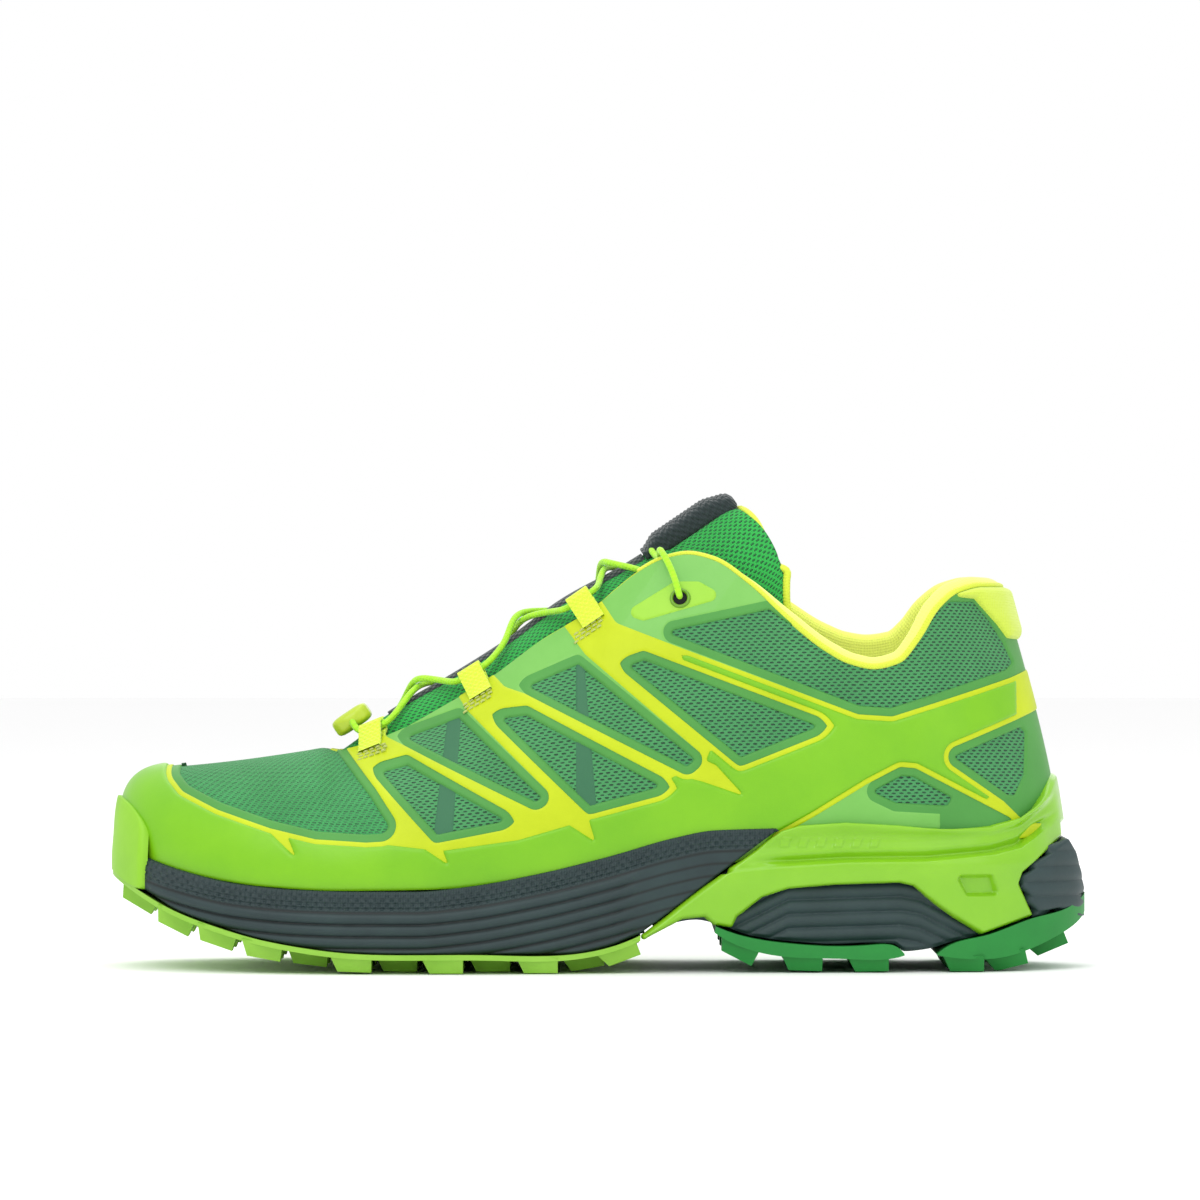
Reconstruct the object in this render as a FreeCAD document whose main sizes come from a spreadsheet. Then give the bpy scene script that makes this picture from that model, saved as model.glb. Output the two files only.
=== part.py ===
import FreeCAD, Part
import math
import os
from FreeCAD import Vector

# A left trail-running shoe, in millimetres. Toe towards -X, heel towards +X, outer side towards -Y,
# ground at Z = 0, and the origin at the bottom centre of the box around the shoe.

doc = FreeCAD.newDocument("running_shoe")
sheet = doc.addObject("Spreadsheet::Sheet", "dims")

SIZES = [
    ("lug_height", 4.0, "outsole lug height"),
    ("lug_length", 12.5, "lug length at its root, along the shoe"),
    ("lug_width", 12.0, "lug width at its root, across the shoe"),
    ("lug_tip_share", 0.62, "lug size at the tip as a share of the root"),
    ("rubber_thickness", 1.7, "outsole sheet between the lugs"),
    ("block_width", 130.0, "width of the blanks that the sole is cut from"),
    ("block_height", 80.0, "height of the blanks that the sole is cut from"),
    ("cup_wall", 3.6, "thickness of the heel frame's side wall"),
    ("plate_thickness", 1.8, "thickness of the heel frame's floor and of the shank"),
    ("layer_gap", 0.12, "gap left between bonded layers"),
    ("cloth_gap", 0.3, "gap left between the loose inner layers"),
    ("mesh_thickness", 1.5, "upper mesh"),
    ("film_thickness", 0.45, "bonded film over the mesh"),
    ("rand_thickness", 1.1, "moulded toe and side rand"),
    ("lining_thickness", 3.2, "padded collar lining"),
    ("stiffener_thickness", 1.1, "toe puff and heel counter"),
    ("board_thickness", 1.4, "lasting board"),
    ("insole_thickness", 4.2, "removable insole"),
    ("eyelet_inner_radius", 1.9, "hole of the top eyelet"),
    ("eyelet_rim_radius", 0.75, "rim bead of the top eyelet"),
    ("lace_diameter", 2.0, "round lace"),
    ("loop_width", 7.6, "webbing loop, along the throat"),
    ("loop_length", 9.0, "webbing loop, across the throat"),
    ("loop_thickness", 1.0, "webbing of the lace loops"),
    ("tongue_thickness", 4.0, "tongue padding at its wings"),
    ("tongue_centre_pad", 6.0, "extra tongue padding behind the lace lock"),
    ("band_thickness", 1.0, "ribbed band on the tongue"),
    ("lock_length", 15.0, "lace lock body"),
    ("lock_width", 12.0, "lace lock body"),
    ("lock_depth", 5.2, "lace lock body"),
    ("lock_channel_radius", 1.45, "lace channel in the lock"),
    ("lock_channel_spacing", 6.4, "distance between the two lace channels"),
    ("button_length", 7.0, "sliding button of the lock"),
    ("button_width", 8.0, "sliding button of the lock"),
    ("button_travel", 2.2, "travel of the sliding button"),
]
for row, (alias, value, note) in enumerate(SIZES, start=1):
    sheet.set(f"A{row}", alias)
    sheet.set(f"B{row}", str(value))
    sheet.setAlias(f"B{row}", alias)
    sheet.set(f"C{row}", note)
doc.recompute()


def dim(alias):
    """A driving dimension, read from the sheet."""
    return float(getattr(sheet, alias))


# ---------------------------------------------------------------- the last: tables that shape the upper

# Each row is keyed by a station u, from -150 at the toe tip to 150 at the heel's back.
# Foot line: where the upper meets the sole. u, x, y outer, y inner, z, how far the sole stands out.
FOOT = [
    (-150, -145.5, 6.0, 6.0, 37.0, 3.8),
    (-146, -144.3, -4.0, 16.5, 36.0, 3.9),
    (-140, -140.3, -14.0, 25.5, 34.5, 4.3),
    (-131, -132.3, -24.5, 34.0, 32.0, 5.0),
    (-118, -118.6, -35.0, 41.5, 28.6, 5.0),
    (-100, -100.0, -43.5, 46.8, 26.0, 5.0),
    (-78, -78.0, -48.3, 49.0, 24.9, 5.0),
    (-50, -50.0, -49.0, 46.5, 25.3, 5.0),
    (-20, -20.0, -46.8, 41.0, 28.0, 5.0),
    (10, 10.0, -43.0, 36.8, 31.0, 5.0),
    (40, 40.0, -40.0, 34.5, 33.0, 5.0),
    (70, 70.0, -38.5, 35.0, 34.0, 5.0),
    (95, 95.0, -37.5, 35.5, 34.5, 5.0),
    (112, 112.5, -34.5, 33.5, 35.0, 5.5),
    (126, 126.5, -27.0, 26.5, 35.0, 6.0),
    (137, 136.8, -17.0, 17.0, 35.0, 6.5),
    (145, 142.0, -7.5, 7.5, 35.0, 7.0),
    (150, 143.2, 0.0, 0.0, 35.0, 7.0),
]
# Top line: the vamp's ridge, then the throat's edge and the collar. u, x, half width, z outer, z inner.
EDGE = [
    (-150, -127.5, 0.0, 61.4, 61.4),
    (-140, -125.0, 0.0, 61.8, 61.8),
    (-125, -118.0, 0.0, 62.6, 62.6),
    (-110, -108.5, 0.0, 63.8, 63.8),
    (-97, -98.0, 0.0, 65.3, 65.3),
    (-88, -89.5, 0.0, 66.6, 66.6),
    (-83, -84.2, 0.0, 67.4, 67.4),
    (-76, -78.5, 8.0, 66.4, 66.4),
    (-62, -62.8, 15.0, 71.5, 71.5),
    (-45, -45.0, 18.0, 81.0, 81.0),
    (-33, -33.3, 19.5, 88.0, 88.0),
    (-17, -17.6, 21.0, 99.5, 99.5),
    (-2, -1.5, 22.0, 109.3, 109.3),
    (5, 4.9, 22.4, 114.8, 114.8),
    (13, 12.6, 22.8, 120.8, 120.8),
    (20, 20.3, 23.4, 124.8, 124.8),
    (28, 27.7, 24.6, 126.2, 126.4),
    (35, 35.1, 26.5, 124.6, 125.2),
    (46, 45.9, 29.6, 117.4, 119.4),
    (58, 57.6, 32.0, 106.6, 110.4),
    (69, 69.2, 33.4, 97.2, 102.6),
    (77, 76.6, 34.0, 93.2, 99.4),
    (84, 84.0, 34.0, 91.6, 98.2),
    (92, 91.8, 33.6, 93.4, 99.2),
    (99, 98.2, 32.8, 100.6, 104.0),
    (106, 104.0, 30.8, 109.6, 110.4),
    (114, 110.2, 27.2, 114.6, 114.6),
    (126, 117.5, 20.6, 116.4, 116.4),
    (138, 123.0, 11.4, 116.4, 116.4),
    (150, 125.2, 0.0, 116.0, 116.0),
]
# Wall shape between them: u, rise and lean at the foot, reach and slope at the top, aim in plan.
SHAPE = [
    (-150, 19.0, 8, 15.0, 0, 90),
    (-140, 19.0, 8, 16.0, 0, 62),
    (-131, 18.5, 8, 18.0, 0, 44),
    (-118, 18.5, 8, 22.0, 0, 20),
    (-105, 19.0, 8, 25.0, 0, 5),
    (-84, 20.0, 8, 26.0, 0, 0),
    (-76, 20.0, 8, 20.0, 18, 0),
    (-62, 21.0, 8, 18.0, 30, 0),
    (-45, 23.0, 7, 19.0, 38, 0),
    (-17, 28.0, 6, 22.0, 47, 0),
    (5, 32.0, 5, 26.0, 54, 0),
    (28, 34.0, 4, 30.0, 64, 0),
    (58, 28.0, 4, 24.0, 78, 0),
    (84, 22.0, 4, 18.0, 88, 0),
    (100, 25.0, 2, 20.0, 88, -4),
    (114, 28.0, -1, 22.0, 86, -18),
    (128, 28.0, -3, 22.0, 82, -42),
    (140, 28.0, -4, 20.0, 78, -68),
    (150, 28.0, -4, 20.0, 76, -90),
]
TURN = 600.0  # length of the closed loop of stations: toe, outer side, heel, inner side, toe
HEEL = 300.0  # the loop's station at the heel's back
RIDGE_END = 67.0  # the loop's station where the vamp's ridge opens into the throat


def steady_curve(rows):
    """A smooth curve through (key, value) rows that never overshoots them."""
    keys = [r[0] for r in rows]
    values = [r[1] for r in rows]
    steps = [
        (values[i + 1] - values[i]) / (keys[i + 1] - keys[i])
        for i in range(len(rows) - 1)
    ]
    slopes = [steps[0]]
    for before, after in zip(steps, steps[1:]):
        turning = before * after <= 0
        slopes.append(0.0 if turning else 2 * before * after / (before + after))
    slopes.append(steps[-1])

    def value_at(key):
        i = 0
        while i < len(keys) - 2 and key > keys[i + 1]:
            i += 1
        span = keys[i + 1] - keys[i]
        s = min(1.0, max(0.0, (key - keys[i]) / span))
        return (
            values[i] * (1 + 2 * s) * (1 - s) ** 2
            + slopes[i] * span * s * (1 - s) ** 2
            + values[i + 1] * s * s * (3 - 2 * s)
            + slopes[i + 1] * span * s * s * (s - 1)
        )

    return value_at


def loop_curve(table, outer, inner):
    """A column of a table as a smooth closed curve over the whole loop of stations."""
    around = [(row[0] + 150.0, outer(row)) for row in table]
    back = [(450.0 - row[0], inner(row)) for row in reversed(table[1:-1])]
    once = around + back
    before = [(k - TURN, x) for k, x in once[-3:]]
    after = [(k + TURN, x) for k, x in once[:3]]
    curve = steady_curve(before + once + after)
    return lambda t: curve(t % TURN)


def centre_shift(x):
    """How far the vamp's ridge leans to the big toe's side."""
    return 5.5 * min(1.0, max(0.0, (-84.0 - x) / 44.0)) ** 1.5


foot_x = loop_curve(FOOT, lambda r: r[1], lambda r: r[1])
foot_y = loop_curve(FOOT, lambda r: r[2], lambda r: r[3])
foot_z = loop_curve(FOOT, lambda r: r[4], lambda r: r[4])
sole_margin = loop_curve(FOOT, lambda r: r[5], lambda r: r[5])
edge_x = loop_curve(EDGE, lambda r: r[1], lambda r: r[1])
edge_y = loop_curve(
    EDGE,
    lambda r: centre_shift(r[1]) - r[2],
    lambda r: centre_shift(r[1]) + r[2],
)
edge_z = loop_curve(EDGE, lambda r: r[3], lambda r: r[4])
rise = loop_curve(SHAPE, lambda r: r[1], lambda r: r[1])
lean = loop_curve(SHAPE, lambda r: r[2], lambda r: r[2])
reach = loop_curve(SHAPE, lambda r: r[3], lambda r: r[3])
slope = loop_curve(SHAPE, lambda r: r[4], lambda r: r[4])
AIM = [(row[0], float(row[5])) for row in SHAPE]
AIM_PAST_TOE = [(-300.0 - u, 180.0 - a) for u, a in reversed(AIM[1:3])]
AIM_PAST_HEEL = [(300.0 - u, -180.0 - a) for u, a in reversed(AIM[-3:-1])]
aim_of_station = steady_curve(AIM_PAST_TOE + AIM + AIM_PAST_HEEL)


def aim(t):
    """The plan direction that the wall faces at loop station t, in degrees."""
    t = t % TURN
    return aim_of_station(t - 150.0) if t <= HEEL else 180.0 - aim_of_station(450.0 - t)


def wall(t, v):
    """A point of the upper's outer face: station t round the loop, v from 0 at the sole to 1 at the top."""
    turn = math.radians(aim(t))
    out = Vector(-math.sin(turn), -math.cos(turn), 0)
    up = Vector(0, 0, 1)
    low = Vector(foot_x(t), foot_y(t), foot_z(t))
    top = Vector(edge_x(t), edge_y(t), edge_z(t))
    tilt = math.radians(lean(t))
    drop = math.radians(slope(t))
    low_pull = low + (up * math.cos(tilt) + out * math.sin(tilt)) * rise(t)
    top_pull = top + (out * math.cos(drop) - up * math.sin(drop)) * reach(t)
    w = 1 - v
    return (
        low * w**3
        + low_pull * (3 * w * w * v)
        + top_pull * (3 * w * v * v)
        + top * v**3
    )


def wall_normal(t, v):
    """The outward normal of the upper's outer face, which lies in the XZ plane along the vamp's ridge."""
    a, b = max(0.0, v - 0.01), min(1.0, v + 0.01)
    along = wall(t + 0.6, v) - wall(t - 0.6, v)
    if v > 0.999 and not RIDGE_END < t % TURN < TURN - RIDGE_END:
        along = wall(t % TURN + 1.5, v) - wall(t % TURN, v)
        return Vector(-abs(along.z), 0, abs(along.x)).normalize()
    across = wall(t, b) - wall(t, a)
    return along.cross(across).normalize()


def wall_inside(t, v, depth):
    """The point a given depth inside the upper's outer face, or outside it if negative."""
    return wall(t, v) - wall_normal(t, v) * depth


def share_at_height(t, z):
    """The v at which the wall at station t reaches height z."""
    low, high = 0.0, 1.0
    for _ in range(30):
        middle = (low + high) / 2
        if wall(t, middle).z < z:
            low = middle
        else:
            high = middle
    return low


# ---------------------------------------------------------------- making pieces

made = {}


def keep(item, name):
    """Registers a document object as one of the shoe's pieces."""
    item.Label = name
    made[name] = item
    return item


def feature(name, shape):
    item = doc.addObject("Part::Feature", name)
    item.Shape = shape
    return item


def grid_face(grid):
    surface = Part.BSplineSurface()
    surface.interpolate(grid)
    return surface


def between(outer_grid, inner_grid):
    """The closed solid between two grids of points of the same size."""
    outer, inner = grid_face(outer_grid), grid_face(inner_grid)
    faces = [outer.toShape(), inner.toShape()]
    u0, u1, v0, v1 = outer.bounds()
    p0, p1, q0, q1 = inner.bounds()
    rims = [
        (outer.uIso(u0), inner.uIso(p0)),
        (outer.uIso(u1), inner.uIso(p1)),
        (outer.vIso(v0), inner.vIso(q0)),
        (outer.vIso(v1), inner.vIso(q1)),
    ]
    for a, b in rims:
        faces.append(Part.makeRuledSurface(a.toShape(), b.toShape()))
    shell = Part.makeShell(faces)
    shell.sewShape()
    solid = Part.makeSolid(shell)
    if solid.Volume < 0:
        solid.reverse()
    return solid


def spread(low, high, count):
    return [low + (high - low) * i / (count - 1) for i in range(count)]


def wall_patch(name, start, end, v_low, v_high, outside, inside, stations=21, levels=9):
    """A layer of the upper from loop station start to end, between the heights v_low(t) and v_high(t)."""
    outer_grid, inner_grid = [], []
    for t in spread(start, end, stations):
        shares = spread(v_low(t), v_high(t), levels)
        outer_grid.append([wall_inside(t, v, outside) for v in shares])
        inner_grid.append([wall_inside(t, v, inside) for v in shares])
    return feature(name, between(outer_grid, inner_grid))


def side_face(lines):
    """A flat face in the XZ plane; each bounding line is ('curve', points) or ('line', points)."""
    edges = []
    for kind, points in lines:
        line = [Vector(x, 0, z) for x, z in points]
        if kind == "curve":
            smooth = Part.BSplineCurve()
            smooth.interpolate(line)
            edges.append(smooth.toShape())
        else:
            edges += [
                Part.LineSegment(a, b).toShape() for a, b in zip(line, line[1:])
            ]
    return Part.Face(Part.Wire(Part.__sortEdges__(edges)))


def extrude(name, face, direction, length_alias, symmetric):
    """A blank: a flat face pushed out along a direction by a length from the sheet."""
    profile = feature(name + "_profile", face)
    blank = doc.addObject("Part::Extrusion", name)
    blank.Base = profile
    blank.DirMode = "Custom"
    blank.Dir = direction
    blank.Solid = True
    blank.Symmetric = symmetric
    blank.setExpression("LengthFwd", f"dims.{length_alias}")
    return blank


def side_blank(name, lines):
    return extrude(name, side_face(lines), Vector(0, 1, 0), "block_width", True)


def common(name, *shapes):
    item = doc.addObject("Part::MultiCommon", name)
    item.Shapes = list(shapes)
    return item


def fuse(name, *shapes):
    item = doc.addObject("Part::MultiFuse", name)
    item.Shapes = list(shapes)
    return item


def cut(name, base, tool):
    item = doc.addObject("Part::Cut", name)
    item.Base = base
    item.Tool = tool
    return item


def outline_point(t, margin):
    """A point of the foot line in plan, moved outwards by margin."""
    ahead = Vector(foot_x(t + 1), foot_y(t + 1), 0)
    behind = Vector(foot_x(t - 1), foot_y(t - 1), 0)
    along = (ahead - behind).normalize()
    return Vector(foot_x(t) + along.y * margin, foot_y(t) - along.x * margin, 0)


def outline_face(margin):
    """The foot line in plan, grown by margin(t), as a flat face at ground level."""
    count = 60
    points = [outline_point(TURN * i / count, margin(TURN * i / count)) for i in range(count)]
    curve = Part.BSplineCurve()
    curve.interpolate(points, True)
    return Part.Face(Part.Wire(curve.toShape()))


def plan_blank(name, margin):
    return extrude(name, outline_face(margin), Vector(0, 0, 1), "block_height", False)


# ---------------------------------------------------------------- sole unit

# Side-view lines of the sole, as (x, z).
SOLE_TOP = [
    (-152, 38.0), (-128, 30.3), (-109, 26.5), (-90, 25.0), (-72, 24.6), (-55, 24.6),
    (-39, 26.0), (-18, 29.7), (3, 34.7), (24, 40.6), (36, 42.8), (55, 43.4),
]
MIDSOLE_LOW = [
    (-152, 31.5), (-147, 28.5), (-140, 24.3), (-128, 18.2), (-115, 13.7), (-103, 10.4),
    (-90, 8.0), (-75, 6.2), (-60, 5.7), (-34, 5.7), (-8, 5.7), (3, 7.6), (13.2, 11.4),
]
FOOTBED = [
    (-152, 37.8), (-145, 36.1), (-132, 31.5), (-118, 28.0), (-100, 25.5), (-78, 24.4),
    (-50, 24.8), (-20, 27.5), (10, 30.5), (40, 32.5), (70, 33.5), (95, 34.0), (152, 34.6),
]
SHANK = [(1, 12.2), (20, 15.4), (34, 17.4), (64, 19.0)]
FRONT_PAD_TOP = [(36, 14.0), (47, 10.4), (58, 8.8), (72, 7.9), (83, 8.3), (90, 8.0), (93, 5.6)]
FRONT_PAD_LOW = [(35.6, 12.0), (45, 7.2), (59, 4.5), (75, 4.0), (90, 4.2), (93, 5.0)]
REAR_PAD_TOP = [(103, 5.6), (108, 8.7), (117, 10.8), (133.7, 16.1), (141, 17.6), (151, 23.6)]
REAR_PAD_LOW = [(103, 5.0), (110, 4.0), (122, 4.0), (131, 6.2), (141, 10.4), (148, 14.6), (151, 18)]
FRAME_ARCH = [(13.9, 9.6), (26.2, 16.0), (32.6, 16.6), (35.6, 14.2), (41.0, 13.4)]
FRAME_WINDOW = [
    (41.0, 13.4), (42.6, 16.6), (50.2, 22.3), (57.8, 24.8), (71.8, 26.0), (91.5, 26.6),
    (95.7, 25.6), (99.8, 22.3), (108.0, 16.5), (117.1, 11.0),
]
FRAME_REAR = [(133.7, 16.3), (129.0, 26.4), (129.9, 29.3), (143.5, 40.4), (143.5, 43.8)]
FRAME_TOP = [(55.2, 43.7), (61, 45.0), (75, 45.8), (91, 45.0), (108, 43.6), (143.5, 43.8)]


def shifted(line, dz, dx=0.0):
    return [(x + dx, z + dz) for x, z in line]


def band(upper_line, lower_line):
    """A closed side-view outline between two smooth lines, joined by straight ends."""
    return [
        ("curve", upper_line),
        ("line", [upper_line[-1], lower_line[-1]]),
        ("curve", lower_line),
        ("line", [lower_line[0], upper_line[0]]),
    ]


def block(name, corner, length, width, height):
    """A box set square to the axes; sizes may be numbers or sheet expressions."""
    box = doc.addObject("Part::Box", name)
    box.setExpression("Length", str(length))
    box.setExpression("Width", str(width))
    box.setExpression("Height", str(height))
    box.Placement.Base = corner
    return box


def ground_height(x, line):
    for (x0, z0), (x1, z1) in zip(line, line[1:]):
        if x0 <= x <= x1:
            return z0 + (z1 - z0) * (x - x0) / (x1 - x0), math.atan2(z1 - z0, x1 - x0)
    raise ValueError("no ground line here")


def even(margin):
    return lambda t: margin


gap = dim("layer_gap")
rubber = dim("rubber_thickness")
forefoot_low = shifted(MIDSOLE_LOW, -rubber)

# The hollow that the upper stands in: everything above the footbed inside the wall line.
above_footbed = side_blank(
    "above_footbed", [("curve", FOOTBED), ("line", [FOOTBED[-1], (152, 90), (-152, 90), FOOTBED[0]])]
)
cup = common("cup", above_footbed, plan_blank("cup_plan", even(2.0)))
sole_plan = plan_blank("sole_plan", sole_margin)

plate = dim("plate_thickness")
shank_room = common(
    "shank_room",
    side_blank("shank_room_side", band(shifted(SHANK, plate + 0.3), shifted(SHANK, -0.3))),
    block("shank_room_box", Vector(1.6, -15.4, 0), 61.8, 24.8, "dims.block_height"),
)

diagonal = [(13.2, 11.4), (55, 43.4)]
forefoot_block = side_blank(
    "forefoot_block",
    [
        ("curve", SOLE_TOP),
        ("line", diagonal),
        ("curve", MIDSOLE_LOW),
        ("line", [MIDSOLE_LOW[0], SOLE_TOP[0]]),
    ],
)
forefoot_trimmed = common("forefoot_trimmed", forefoot_block, sole_plan)
forefoot_hollows = fuse("forefoot_hollows", cup, shank_room)
keep(cut("midsole_forefoot_body", forefoot_trimmed, forefoot_hollows), "midsole_forefoot")

frame_outline = [
    ("line", [(13.6, 11.2), (55.6, 43.2), FRAME_TOP[0]]),
    ("curve", FRAME_TOP),
    ("line", list(reversed(FRAME_REAR))),
    ("line", [FRAME_REAR[0], FRAME_WINDOW[-1]]),
    ("line", list(reversed(FRAME_WINDOW))),
    ("line", list(reversed(FRAME_ARCH))),
    ("line", [FRAME_ARCH[0], (13.6, 11.2)]),
]
core_margin = dim("cup_wall")
frame_side = side_blank("frame_side", frame_outline)
frame_walls = common("frame_walls", frame_side, plan_blank("frame_plan", even(5.0)))
frame_core = plan_blank("frame_core", even(5.0 - core_margin))
frame_ring = cut("frame_ring", frame_walls, frame_core)
FLOOR_LINE = [(41.5, 32.4), (70, 33.4), (95, 33.9), (120, 34.3), (133, 34.4)]
floor_side = side_blank("floor_side", band(shifted(FLOOR_LINE, -0.2), shifted(FLOOR_LINE, -0.2 - plate)))
frame_floor = common("frame_floor", floor_side, plan_blank("floor_plan", even(5.0 - core_margin + 0.3)))
HEEL_LIP = steady_curve(
    [(45, 44.0), (75, 45.8), (108, 43.6), (122, 44.5), (132, 48.7), (141, 53.6), (150, 59.4)]
)


def lip_share(t):
    u = t - 150.0 if t <= HEEL else 450.0 - t
    return share_at_height(t, HEEL_LIP(u))


heel_cup = wall_patch(
    "heel_cup", 205, 395, lambda t: 0.04, lip_share, -2.4, -0.9, stations=39, levels=7
)
DENT = [(108.5, 29.2), (119.5, 29.2), (121.5, 23.5), (111.5, 23.5), (108.5, 29.2)]
dent = side_blank("dent_side", [("line", DENT)])
dent_plan = plan_blank("dent_plan", even(3.7))
dents = cut("dents", dent, dent_plan)
frame_solid = fuse("frame_solid", frame_ring, frame_floor, heel_cup)
keep(cut("heel_frame_body", frame_solid, dents), "heel_frame")

core_outline = [
    ("line", [(16.2, 12.9), (40.0, 30.1)]),
    ("line", [(40.0, 30.1), (146, 32.2), (146, 21.5)]),
    ("line", [(146, 21.5), (141, 17.8), (133.7, 16.3), (117, 11.0), (108, 8.9), (103, 5.9)]),
    ("line", [(103, 5.9), (100, 6.6), (96, 6.6), (93, 5.9), (90, 8.3), (83, 8.6), (72, 8.2)]),
    ("line", [(72, 8.2), (58, 9.1), (47, 10.7), (36, 14.4), (30, 15.6), (16.2, 12.9)]),
]
heel_core = common(
    "heel_core", side_blank("core_side", core_outline), plan_blank("core_plan", even(1.2))
)
bumper_outline = [
    ("line", [(134.0, 16.6), (129.3, 26.4), (130.2, 29.1), (143.9, 40.3)]),
    ("curve", [(143.9, 40.3), (147.0, 35.5), (149.0, 29.0), (150.2, 23.8)]),
    ("line", [(150.2, 23.8), (141, 18.0), (134.0, 16.6)]),
]
heel_bumper = common("heel_bumper", side_blank("bumper_side", bumper_outline), sole_plan)
heel_foam = fuse("heel_foam", heel_core, heel_bumper)
heel_cup_room = wall_patch(
    "heel_cup_room", 225, 375, lambda t: 0.0, lip_share, -2.8, 20.0, stations=31, levels=7
)
keep(cut("midsole_heel_body", heel_foam, fuse("heel_room", cup, heel_cup_room, shank_room)), "midsole_heel")


def lug(name, x, y, line):
    """One lug: a wedge that narrows towards the ground, square to the rubber sheet's underside."""
    z, tilt = ground_height(x, line)
    item = doc.addObject("Part::Wedge", name)
    root, tip = "dims.lug_length", "dims.lug_tip_share"
    wide = "dims.lug_width"
    item.setExpression("Xmin", f"-{root} / 2")
    item.setExpression("Xmax", f"{root} / 2")
    item.setExpression("Zmin", f"-{wide} / 2")
    item.setExpression("Zmax", f"{wide} / 2")
    item.setExpression("X2min", f"-{root} * {tip} / 2")
    item.setExpression("X2max", f"{root} / 2")
    item.setExpression("Z2min", f"-{wide} * {tip} / 2")
    item.setExpression("Z2max", f"{wide} * {tip} / 2")
    item.setExpression("Ymin", "-dims.rubber_thickness / 2")
    item.setExpression("Ymax", "dims.lug_height")
    upright = FreeCAD.Rotation(Vector(1, 0, 0), -90)
    tilted = FreeCAD.Rotation(Vector(0, 1, 0), -math.degrees(tilt))
    item.Placement = FreeCAD.Placement(Vector(x, y, z), tilted.multiply(upright))
    return item


def foot_side(x, side):
    """The station where the foot line has length position x, on the outer (-1) or inner (1) side."""
    low, high = (0.0, HEEL) if side < 0 else (HEEL, TURN)
    for _ in range(30):
        middle = (low + high) / 2
        if (foot_x(middle) < x) == (side < 0):
            low = middle
        else:
            high = middle
    return low


def lug_rows(name, rows, line):
    """Lugs in rows across the sole: each row is an x and the shares of the half width."""
    lugs = []
    for x, shares in rows:
        outer, inner = foot_side(x, -1), foot_side(x, 1)
        y_outer = outline_point(outer, sole_margin(outer)).y
        y_inner = outline_point(inner, sole_margin(inner)).y
        middle, half = (y_outer + y_inner) / 2, (y_inner - y_outer) / 2
        for share in shares:
            edge_room = half - dim("lug_width") / 2 - 0.4
            y = middle + max(-edge_room, min(edge_room, half * share))
            lugs.append(lug(f"{name}_{len(lugs) + 1}", x, y, line))
    return lugs


FOREFOOT_LUGS = [
    (-140, (-0.5, 0.5)),
    (-128, (-0.9, 0.0, 0.9)),
    (-115, (-0.95, -0.32, 0.32, 0.95)),
    (-101, (-0.95, -0.5, 0.0, 0.5, 0.95)),
    (-87.5, (-0.66, -0.22, 0.22, 0.66)),
    (-74, (-0.95, -0.45, 0.0, 0.45, 0.95)),
    (-60.5, (-0.66, -0.22, 0.22, 0.66)),
    (-46.5, (-0.95, -0.45, 0.0, 0.45, 0.95)),
    (-32.5, (-0.66, -0.22, 0.22, 0.66)),
    (-18, (-0.95, -0.45, 0.0, 0.45, 0.95)),
    (-4.5, (-0.66, 0.0, 0.66)),
    (6, (-0.95, 0.95)),
]
FRONT_PAD_LUGS = [
    (43, (-0.95, 0.0, 0.95)),
    (62, (-0.95, -0.33, 0.33, 0.95)),
    (82, (-0.95, -0.33, 0.33, 0.95)),
]
REAR_PAD_LUGS = [
    (111, (-0.95, -0.33, 0.33, 0.95)),
    (124, (-0.95, 0.0, 0.95)),
    (137, (-0.5, 0.5)),
]


below_ground = block("below_ground", Vector(-200, -100, -20), 400, 200, 20)


def outsole(name, label, upper_line, lower_line, rows):
    sheet_side = side_blank(name + "_side", band(upper_line, lower_line))
    sheet_solid = common(name + "_sheet", sheet_side, sole_plan)
    lugs = lug_rows(name + "_lug", rows, lower_line)
    rubber_solid = fuse(name + "_rubber", sheet_solid, *lugs)
    return keep(cut(name + "_body", rubber_solid, below_ground), label)


outsole("outsole_forefoot", "outsole_forefoot", shifted(MIDSOLE_LOW, -gap), forefoot_low, FOREFOOT_LUGS)
outsole("front_pad", "outsole_heel_front", shifted(FRONT_PAD_TOP, -gap), FRONT_PAD_LOW, FRONT_PAD_LUGS)
outsole("rear_pad", "outsole_heel_rear", shifted(REAR_PAD_TOP, -gap), REAR_PAD_LOW, REAR_PAD_LUGS)
shank_side = side_blank("shank_side", band(shifted(SHANK, plate), SHANK))

shank_box = block("shank_box", Vector(2.0, -15, 0), 61, 24, "dims.block_height")
keep(common("shank_body", shank_side, shank_box), "arch_shank")


# ---------------------------------------------------------------- layers of the upper

film = dim("film_thickness")
mesh = dim("mesh_thickness")
board = dim("board_thickness")
insole = dim("insole_thickness")
stiff = dim("stiffener_thickness")
mesh_out = film + gap
mesh_in = mesh_out + mesh
stiff_out = mesh_in + dim("cloth_gap")
stiff_in = stiff_out + stiff
pad_out = stiff_in + dim("cloth_gap")
stripe_out = -gap - film
VAMP_END = 66.8
QUARTER_START = 67.2
QUARTER_END = 246.0
HEEL_START = 246.4


def constant(share):
    return lambda t: share


def at_height(line):
    """The share of the wall that reaches a side-view height line, keyed by u."""
    curve = steady_curve(line)
    return lambda t: share_at_height(t, curve(t - 150.0 if t <= HEEL else 450.0 - t))


def mirrored(t):
    return TURN - t


def layer(name, start, end, v_low, v_high, outside, inside, stations=21, levels=9):
    """The same layer on the outer and the inner side of the shoe."""
    outer = wall_patch(name + "_a", start, end, v_low, v_high, outside, inside, stations, levels)
    inner = wall_patch(
        name + "_b", TURN - end, TURN - start, v_low, v_high, outside, inside, stations, levels
    )
    return outer, inner


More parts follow.
